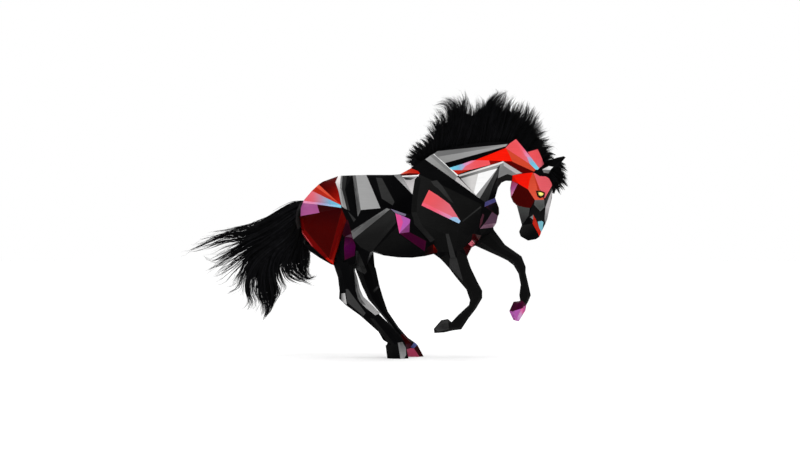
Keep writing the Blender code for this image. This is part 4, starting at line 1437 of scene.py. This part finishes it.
@dataclass
class HairPiece:
    """Loose hair that grows along a row of locks: a dark core, a dense fill, tufts that end in points, and strays."""

    name: str
    roots: str
    locks: tuple[str, ...]
    growths: tuple[Growth, ...]
    seed: int
    half_root: float
    half_middle: float
    core_reach: float
    core_width: float
    core_taper: float = 0.0
    lean: float = 0.0
    flatness: float = 1.0
    bend_steps: int = 12
    root_steps: int = 40
    weld: float = 0.00005
    swell_start: float = 0.1
    swell_length: float = 0.45
    tip_narrowing: float = 0.35
    tip_run: float = 0.04
    least_swing: float = 0.3
    lean_run: float = 0.5
    taper_rate: float = 3.0

    def half_width(self, reach: float) -> float:
        """Half the width of the hair across the horse at a share of the way from root to tip."""
        swell = min(max((reach - self.swell_start) / self.swell_length, 0.0), 1.0)
        return (self.half_root + (self.half_middle - self.half_root) * swell) * (1.0 - self.tip_narrowing * reach)

    def guide(self, place: float, growth: Growth, draws: random.Random) -> list[Vector]:
        """One guide between two neighbouring locks.

        Args:
            place: where it grows, counted in locks.
            growth: the growth that it belongs to.
            draws: the random numbers.

        Returns:
            Its points from root to tip.
        """
        index = min(int(place), len(self.locks) - 2)
        first, second = map(drawn, self.locks[index : index + 2])
        end, side = draws.uniform(*growth.reach), draws.uniform(-1.0, 1.0)
        swing, phase = growth.swing * draws.uniform(self.least_swing, 1.0), draws.uniform(0.0, math.tau)
        chord = (first[-1] - first[0]).normalized()
        points = []
        for step in range(self.bend_steps + 1):
            reach = step / self.bend_steps * end
            power = 1.0 + (growth.gather - 1.0) * reach**2
            part = (place - index) ** power / ((place - index) ** power + (index + 1 - place) ** power)
            spot = through(first, reach).lerp(through(second, reach), part)
            if reach > 1.0:
                inner = 1.0 - self.tip_run
                before = through(first, inner).lerp(through(second, inner), part)
                spot += (spot - before) * (reach - 1.0) / self.tip_run
            spot += Vector((-chord.y, chord.x)) * swing * reach * math.sin(phase + growth.bends * math.tau * reach)
            across = side * self.half_width(reach) + self.lean * max(1.0 - reach / self.lean_run, 0.0)
            points.append(Vector((spot.x, across, spot.y)))
        return points

    def guides(self, growth: Growth, draws: random.Random) -> list[list[Vector]]:
        """The guides of one growth, spread evenly over the locks.

        Args:
            growth: the growth.
            draws: the random numbers.

        Returns:
            Each guide's points.
        """
        start, end = (share * (len(self.locks) - 1.0) for share in growth.span)
        step = (end - start) / growth.guides
        places = [start + (index + draws.uniform(0.0, 1.0)) * step for index in range(growth.guides)]
        return [self.guide(place, growth, draws) for place in places]

    def core(self) -> bmesh.types.BMesh:
        """A slimmer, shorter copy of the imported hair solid, which closes the mass between the strands.

        Returns:
            The core's mesh.
        """
        shape = bmesh.new()
        shape.from_mesh(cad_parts[self.name].data)
        bmesh.ops.remove_doubles(shape, verts=shape.verts, dist=self.weld)
        roots = drawn(self.roots)
        line = [through(roots, k / self.root_steps) for k in range(self.root_steps + 1)]
        for vertex in shape.verts:
            place = Vector((vertex.co.x, vertex.co.z))
            spots = [self.on_segment(place, *pair) for pair in zip(line, line[1:])]
            near = min(spots, key=lambda spot: (spot - place).length)
            thinning = self.core_taper * max(1.0 - self.taper_rate * spots.index(near) / len(spots), 0.0)
            place = near + (place - near) * self.core_reach * (1.0 - thinning)
            vertex.co = Vector((place.x, vertex.co.y * self.core_width + self.lean, place.y))
        for face in shape.faces:
            face.smooth = True
        bmesh.ops.recalc_face_normals(shape, faces=shape.faces[:])
        return shape

    @staticmethod
    def on_segment(point: Vector, start: Vector, end: Vector) -> Vector:
        """The point of a segment that is nearest to a point."""
        share = intersect_point_line(point.to_3d(), start.to_3d(), end.to_3d())[1]
        return start.lerp(end, min(max(share, 0.0), 1.0))

    def build(self, tree: StrandTree, material: bpy.types.Material) -> None:
        """Makes the core and the strand pieces.

        Args:
            tree: the strand tree.
            material: the hair's material.
        """
        draws = random.Random(self.seed)
        made = [mesh_object(self.name + "_core", self.core(), material)]
        for order, growth in enumerate(self.growths):
            settings = {
                "Strands": growth.strands,
                "Points": growth.points,
                "Spread": (growth.spread, growth.spread * self.flatness, growth.spread),
                "Tip spread": growth.tip_spread,
                "Thickness": growth.thickness,
                "Wave": growth.wave,
                "Wave rate": growth.wave_rate,
                "Own wave": growth.own_wave,
                "Shortest": growth.shortest,
                "Seed": self.seed * 100 + order * 10,
                "Material": material,
            }
            made.append(tree.run(f"{self.name}_{growth.name}_1", self.guides(growth, draws), settings))
        for piece in made:
            hand_over(piece, self.name)


MANE = HairPiece(
    name="mane",
    roots="412,165 418,161 425,159 437,151 465,145 491,142 510,140 521,143 534,151.5 546,166",
    locks=(
        "424,167 417,168 411.6,167",
        "424,165 415,163.4 406.8,161.4",
        "423,163 415,159 405,157",
        "423,161 416,155 407.4,149.4",
        "425,160 418.6,151 411.4,145.4",
        "427,159 422,148 415.6,141.4",
        "430,158 427,145 420.6,138.4",
        "432,156 431,141 425.4,133.6",
        "434,155 436,138 430,130.4 426.6,125.6",
        "436,154 438,134 434,124 427,120.4",
        "438,154 441,133 438,122 433.4,113.6",
        "440,153 445,130 443,116 435,108",
        "444,152 452,124 450,109 443,102.4 434.6,105.4",
        "448,151 457,122 455,104 447,98 439.6,98.4",
        "452,150 460,120 460,104 454,93.8",
        "456,149 464,122 463,107 466.4,97 465,89.8",
        "461,149 468,124 471,110 467,101",
        "466,148 474,122 479,108 475,96.6",
        "471,147 478,122 484,106 481,97.4",
        "476,146 482,122 486,107 491,97.6 489.2,93.4",
        "482,146 486,120 489,103 496,94 499.6,91 496.4,87.6",
        "487,145 492,118 495,103 501,94.4 507.4,90.6",
        "492,144 498,118 501,103 506,96 505,90",
        "497,144 504,119 508,105 514,96",
        "502,144 510,120 515,106 519.4,100.2",
        "506,144 515,122 521,109 524.6,100.4",
        "510,144 519,126 526,115 528.4,102.6",
        "514,146 523,128 530,119 534.6,106.6",
        "517,148 527,132 533,123 539.4,112.4",
        "521,151 531,134 538,127 542.4,120.4",
        "525,154 534,138 541,133 547.2,129.4",
        "529,157 537,145 544,140.6 549.4,138",
        "533,161 541,150 548,147 553.8,146.4",
        "536,166 544,156.4 551,154 556.8,155.8",
        "538,170 545,162 551,158 556.4,163.4",
    ),
    growths=(
        Growth("fill", 196, 12, 8, 0.0022, 0.024, 0.6, 0.03, 6.0, 0.5, 0.7, (0.56, 0.91), 1.6, span=(0.28, 1.0)),
        Growth("hem", 74, 12, 8, 0.0022, 0.02, 0.5, 0.03, 6.0, 0.5, 0.7, (0.36, 0.64), 1.6, span=(0.0, 0.28)),
        Growth("tufts", 190, 12, 11, 0.0019, 0.011, 0.08, 0.03, 6.0, 0.2, 0.78, (0.84, 1.08), 3.6, 0.01, 1.2),
        Growth("wisps", 300, 5, 13, 0.0016, 0.01, 0.5, 0.05, 6.0, 0.8, 0.78, (0.78, 1.1), 1.3, 0.02, 1.1),
        Growth("strays", 60, 7, 13, 0.001, 0.024, 1.2, 0.06, 8.0, 1.5, 0.6, (0.9, 1.16), 1.3, 0.018, 1.5),
    ),
    seed=11,
    half_root=0.024,
    half_middle=0.062,
    core_reach=0.66,
    core_width=0.3,
    core_taper=0.4,
    lean=0.022,
    flatness=0.35,
)

TAIL = HairPiece(
    name="tail",
    roots="303.5,201 300,206 299,214 300,224 303,232",
    locks=(
        "305,203 296,202.6 285,206.8 272,214.8 258,222 243,226.6 223,229.6 203,234",
        "305,206 288,212 270,223 245,233 223,235.6 205,243.6 185,253.4",
        "304,207 286,215 268,227 248,238 228,240 208,247 190,252",
        "303,210 284,222 264,234 245,242 223.4,256 210,260.4 203.6,256",
        "303,211 284,225 266,238 246,247 228,258 217,265 203,271.6",
        "303,213 284,228 266,240 250,252 232.6,264 219,274 210.8,279",
        "303,215 284,232 264,246 247,259 238.5,274.3 232,284 221.4,287.6",
        "303,216 285,234 264,250 250,263 240.7,281 236.8,288.4 226,294",
        "303,217 286,236 267,251 254.6,262 247,276 245.6,289 248,301 242.4,309",
        "303,218 287,238 268,252 256.4,264 249.6,278 248.6,292 251.6,303 246.4,312",
        "303,218 287,238 270,251 261.4,266 259,280 258.6,294 262.6,306 259.4,317",
        "303,219 288,240 271,252 263,267 261,284 264,298 266.4,309 261.4,321",
        "303,220 289,240 272,252 265,267 264,285 267.4,298 267.4,311 262.8,322.8",
        "303,220 289,240 274,252 268,267 268,285 270.4,298 268.6,311 264,320",
        "303,221 290,241 276,253 271,268 272,285 273,298 270,310 266.6,317",
        "303,221 290,241 277,254 273.4,268 274.4,285 274.4,297 271.4,312",
        "303,223 291,242 280,254 274,266 275.4,284 279,293 273,305 272.6,309",
        "304,225 293,243 283,256 278,268 282,281 285,288 277.4,297",
        "304,227 295,244 287,256 285,266 289,275.7 299,281 311,283.4",
        "304,228 297,244 291,256 290,266 295,275 303,279.4 313.6,286",
        "304,230 299,245 296,256 295,266 300,274 308,279 316.6,278.6",
        "304,232 302,245 301,256 301,267 305,274 310,277.7 318.8,272.4",
        "305,234 305,246 306,256 305.4,266 308.3,274.6 314.6,277.4",
        "306,236 307,245 309,252 308.4,262 308.6,271",
    ),
    growths=(
        Growth("fill", 180, 11, 9, 0.0026, 0.026, 0.8, 0.04, 4.0, 0.6, 0.66, (0.24, 0.42), 1.0, 0.006, 2.0),
        Growth("locks", 150, 8, 23, 0.0027, 0.011, 0.1, 0.02, 5.0, 0.2, 0.84, (0.8, 1.04), 3.4, 0.012, 3.0),
        Growth("stream", 44, 14, 19, 0.003, 0.015, 0.35, 0.02, 5.0, 0.3, 0.84, (0.88, 1.0), 1.4, 0.01, 3.0,
              span=(0.36, 0.68)),
        Growth("wisps", 280, 4, 23, 0.0021, 0.01, 0.4, 0.04, 5.0, 0.8, 0.72, (0.62, 1.08), 1.3, 0.022, 3.6),
    ),
    seed=23,
    half_root=0.045,
    half_middle=0.075,
    core_reach=0.36,
    core_width=0.62,
    bend_steps=28,
)

FORELOCK = HairPiece(
    name="forelock",
    roots="545,163 549,170 549,176",
    locks=(
        "544,164 555,160 561.5,161.6",
        "546,164 557,162 566.5,164.6",
        "547,166 559,166 567.8,171.2",
        "548,168 560,173 567.8,180.6",
        "549,170 560,178 568.3,187",
        "549,172 557,181 564.5,190",
        "549,174 555,183 560.2,194.6",
        "549,176 553,182 556,190",
    ),
    growths=(
        Growth("fill", 40, 12, 8, 0.0024, 0.02, 0.8, 0.02, 9.0, 0.5, 0.7, (0.55, 0.86), 1.2),
        Growth("tufts", 60, 12, 10, 0.0018, 0.01, 0.1, 0.02, 9.0, 0.2, 0.78, (0.82, 1.1), 3.0, 0.004, 1.2),
        Growth("strays", 16, 8, 10, 0.001, 0.014, 1.2, 0.04, 10.0, 1.5, 0.6, (0.9, 1.15), 1.0, 0.006, 1.5),
    ),
    seed=31,
    half_root=0.024,
    half_middle=0.034,
    core_reach=0.7,
    core_width=0.7,
)


@dataclass
class GlassEye:
    """A yellow glass eye in the opening of an angular black lid, on one side of the head."""

    side: int
    lid_outline: str = "535.2,190.9 539.6,190.7 544.6,192.7 544,197 539.2,198.4 536.8,196.6"
    opening: str = "536.9,192.1 539.6,192.2 543.1,193.7 541.9,195.4 540,196.3 538.3,195"
    ridge: float = 0.010
    dome: float = 0.008
    rim: float = 0.004
    root: float = 0.012
    skin_width: float = 0.09
    edge_steps: int = 5
    lens_margin: float = 1.12
    lens_rows: tuple[float, ...] = (0.8, 0.55, 0.28)
    fold: float = 0.001
    fibre_scale: float = 260.0
    fibre_share: float = 0.22
    depth_scale: float = 100.0
    roughness: float = 0.08
    coat: float = 0.6
    coat_roughness: float = 0.03
    iris: tuple[tuple[float, Triple], ...] = (
        (0.10, (0.94, 0.92, 0.24)),
        (1.0, (0.35, 0.24, 0.03)),
        (0.62, (0.92, 0.88, 0.16)),
        (0.84, (0.80, 0.66, 0.08)),
    )

    @property
    def name(self) -> str:
        """The eye's name."""
        return "right_eye" if self.side < 0 else "left_eye"

    @property
    def middle(self) -> Vector:
        """The side-view middle of the opening."""
        corners = drawn(self.opening)
        return sum(corners, Vector((0.0, 0.0))) / len(corners)

    def skin(self, surface: BVHTree, spot: Vector) -> float:
        """How far the head's skin stands from the midline at a side-view point."""
        found = cast(surface, spot, self.side)
        return self.skin_width if found is None else abs(found)

    def out(self, spot: Vector, height: float) -> Vector:
        """A side-view point at a distance from the midline, on this eye's side."""
        return Vector((spot.x, self.side * height, spot.y))

    def closed(self, rows: list[list[Vector]], ends: tuple[Vector, ...]) -> bmesh.types.BMesh:
        """A closed body through rows of points.

        Args:
            rows: the rows of points.
            ends: the points that close the first and the last row, or nothing for a ring.

        Returns:
            The body.
        """
        shape = bmesh.new()
        rings = [[shape.verts.new(point) for point in row] for row in rows]
        for first, second in zip(rings, rings[1:] + ([] if ends else [rings[0]])):
            for k, corner in enumerate(first):
                shape.faces.new((first[k - 1], corner, second[k], second[k - 1]))
        for point, ring in zip(ends, (rings[0], rings[-1])):
            tip = shape.verts.new(point)
            for k, corner in enumerate(ring):
                shape.faces.new((ring[k - 1], corner, tip))
        bmesh.ops.recalc_face_normals(shape, faces=shape.faces[:])
        return shape

    def lens(self, surface: BVHTree) -> bmesh.types.BMesh:
        """The glass, a low dome over the lid's opening.

        Args:
            surface: the dressed head's surface.

        Returns:
            The lens's mesh.
        """
        corners = drawn(self.opening)
        rim = []
        for start, end in zip(corners, corners[1:] + corners[:1]):
            rim += [start.lerp(end, step / self.edge_steps) for step in range(self.edge_steps)]
        seat = max(self.skin(surface, corner) for corner in corners)
        levels = [(self.lens_margin, -self.root), (self.lens_margin, self.rim * 0.5), (1.0, self.rim)]
        levels += [(share, self.rim + self.dome * (1.0 - share**2)) for share in self.lens_rows]
        rows = []
        for share, height in levels:
            rows.append([self.out(self.middle + (spot - self.middle) * share, seat + height) for spot in rim])
        ends = tuple(self.out(self.middle, seat + height) for height in (-self.root, self.rim + self.dome))
        shape = self.closed(rows, ends)
        for face in shape.faces:
            face.smooth = True
        return shape

    def lid(self, surface: BVHTree) -> bmesh.types.BMesh:
        """The lid, a ridged ring round the opening.

        Args:
            surface: the dressed head's surface.

        Returns:
            The lid's mesh.
        """
        pairs = list(zip(drawn(self.lid_outline), drawn(self.opening)))
        levels = ((0.0, -self.root), (0.0, 2 * self.fold), (0.5, self.ridge), (1.0, self.rim + self.fold))
        rows = []
        for share, height in (*levels, (1.06, -self.root)):
            spots = [a + (b - a) * share for a, b in pairs]
            rows.append([self.out(spot, self.skin(surface, spot) + height) for spot in spots])
        shape = self.closed(rows, ())
        bmesh.ops.bevel(shape, geom=shape.edges[:], offset=self.fold, segments=2, affect="EDGES", profile=0.6)
        bmesh.ops.recalc_face_normals(shape, faces=shape.faces[:])
        return shape

    def glass(self) -> bpy.types.Material:
        """Yellow glass, darker towards the rim.

        Returns:
            The material.
        """
        us, vs = zip(*(map(float, corner.split(",")) for corner in self.opening.split()))
        half = Vector((max(us) - min(us), max(vs) - min(vs))) * DRAWING_UNIT / 2.0
        made, tree, shader = new_material(self.name + " glass")
        place = coordinates(tree)
        centred = vectors(tree, "SUBTRACT", place, (self.middle.x, 0.0, self.middle.y))
        scaled = vectors(tree, "DIVIDE", centred, (half.x, self.depth_scale, half.y))
        distance = node(tree, "ShaderNodeVectorMath", {0: scaled}, operation="LENGTH").outputs["Value"]
        fibres = noise(tree, place, self.fibre_scale, 4.0)["Fac"]
        ramp = node(tree, "ShaderNodeValToRGB", {0: maths(tree, "MULTIPLY_ADD", fibres, self.fibre_share, distance)})
        stops = ramp.color_ramp.elements
        for index, (position, colour) in enumerate(self.iris):
            stop = stops[index] if index < 2 else stops.new(position)
            stop.position, stop.color = position, (*colour, 1.0)
        gloss = {"Roughness": self.roughness, "Coat Weight": self.coat, "Coat Roughness": self.coat_roughness}
        feed(shader, {"Base Color": ramp.outputs[0], **gloss})
        return made

    def build(self, body: bpy.types.Object, lid_material: bpy.types.Material) -> None:
        """Makes the lens and the lid.

        Args:
            body: the dressed body that the lid sits on.
            lid_material: the lid's material.
        """
        surface = surface_of(body)
        lens = mesh_object(self.name + "_glass", self.lens(surface), self.glass())
        hand_over(lens, self.name)
        hand_over(mesh_object(self.name + "_lid", self.lid(surface), lid_material))


@dataclass
class Studio:
    """The pale floor, the soft light and the camera."""

    frame_width: float = 6.56
    camera_distance: float = 22.0
    aim_height: float = (DRAWING_ORIGIN[1] - 225.0) * DRAWING_UNIT
    film: float = 36.0
    view_depth: float = 200.0
    floor_radius: float = 60.0
    floor_shades: Point2 = (0.90, 0.94)
    floor_roughness: float = 0.9
    patch_scale: float = 3.0
    room_strengths: Point2 = (0.30, 2.0)
    lamp_aim: Triple = (0.2, 0.0, 1.1)
    lamps: tuple[tuple[str, Triple, float, float], ...] = (
        ("key", (-5.0, -7.0, 7.5), 5.0, 170.0),
        ("fill", (7.0, -6.0, 4.5), 6.0, 60.0),
        ("back", (0.0, 7.0, 6.5), 6.0, 120.0),
    )

    def camera(self) -> None:
        """Sets up a long lens level with the middle of the horse, square to its side."""
        data = bpy.data.cameras.new("camera")
        data.sensor_width = self.film
        data.lens = self.film * self.camera_distance / self.frame_width
        data.clip_end = self.view_depth
        made = put("camera", data)
        made.location = (HALF_LENGTH_SHIFT, -self.camera_distance, self.aim_height)
        made.rotation_euler = (math.pi / 2.0, 0.0, 0.0)
        bpy.context.scene.camera = made

    def floor(self) -> None:
        """Lays the pale floor."""
        material, tree, shader = new_material("pale floor")
        patches = noise(tree, coordinates(tree), self.patch_scale, 2.0)["Fac"]
        shade = spread_over(tree, patches, *self.floor_shades)
        feed(shader, {"Base Color": shade, "Roughness": self.floor_roughness, "Specular IOR Level": 0.0})
        shape = bmesh.new()
        bmesh.ops.create_circle(shape, cap_ends=True, segments=96, radius=self.floor_radius)
        mesh_object("floor", shape, material)

    def room(self) -> None:
        """Surrounds the scene with an even white room, darker where the gloss would mirror it."""
        world = bpy.data.worlds.new("studio")
        world.use_nodes = True
        bpy.context.scene.world = world
        tree = world.node_tree
        tree.nodes.clear()
        split = node(tree, "ShaderNodeSeparateXYZ", {0: node(tree, "ShaderNodeTexCoord").outputs["Generated"]})
        lit = {"Strength": spread_over(tree, split.outputs["Z"], *self.room_strengths)}
        mix = {
            "Fac": node(tree, "ShaderNodeLightPath").outputs["Is Camera Ray"],
            1: result(tree, "ShaderNodeBackground", lit),
            2: result(tree, "ShaderNodeBackground", {"Color": (1.0, 1.0, 1.0, 1.0)}),
        }
        node(tree, "ShaderNodeOutputWorld", {"Surface": result(tree, "ShaderNodeMixShader", mix)})

    def light(self) -> None:
        """Hangs the soft boxes."""
        for name, spot, size, power in self.lamps:
            data = bpy.data.lights.new(name, "AREA")
            data.energy, data.size = power, size
            made = put(name, data)
            made.location = spot
            made.rotation_euler = (Vector(self.lamp_aim) - Vector(spot)).to_track_quat("-Z", "Y").to_euler()
        bpy.context.scene.view_settings.view_transform = "Standard"
        bpy.context.scene.view_settings.look = "None"


def main() -> None:
    """Builds the sculpture in the studio and reports each piece."""
    logging.basicConfig(level=logging.INFO, format="%(message)s")
    studio = Studio()
    for step in (studio.camera, studio.floor, studio.room, studio.light):
        step()
    effects = EffectGroups()
    body = FacetedBody().build(effects)
    lid_material = LID_LACQUER.material(effects)
    for side in (-1, 1):
        GlassEye(side).build(body, lid_material)
    tree = StrandTree()
    hair = HairFinish("horse hair").material()
    for piece in (MANE, TAIL, FORELOCK):
        piece.build(tree, hair)


if __name__ == "__main__":
    main()
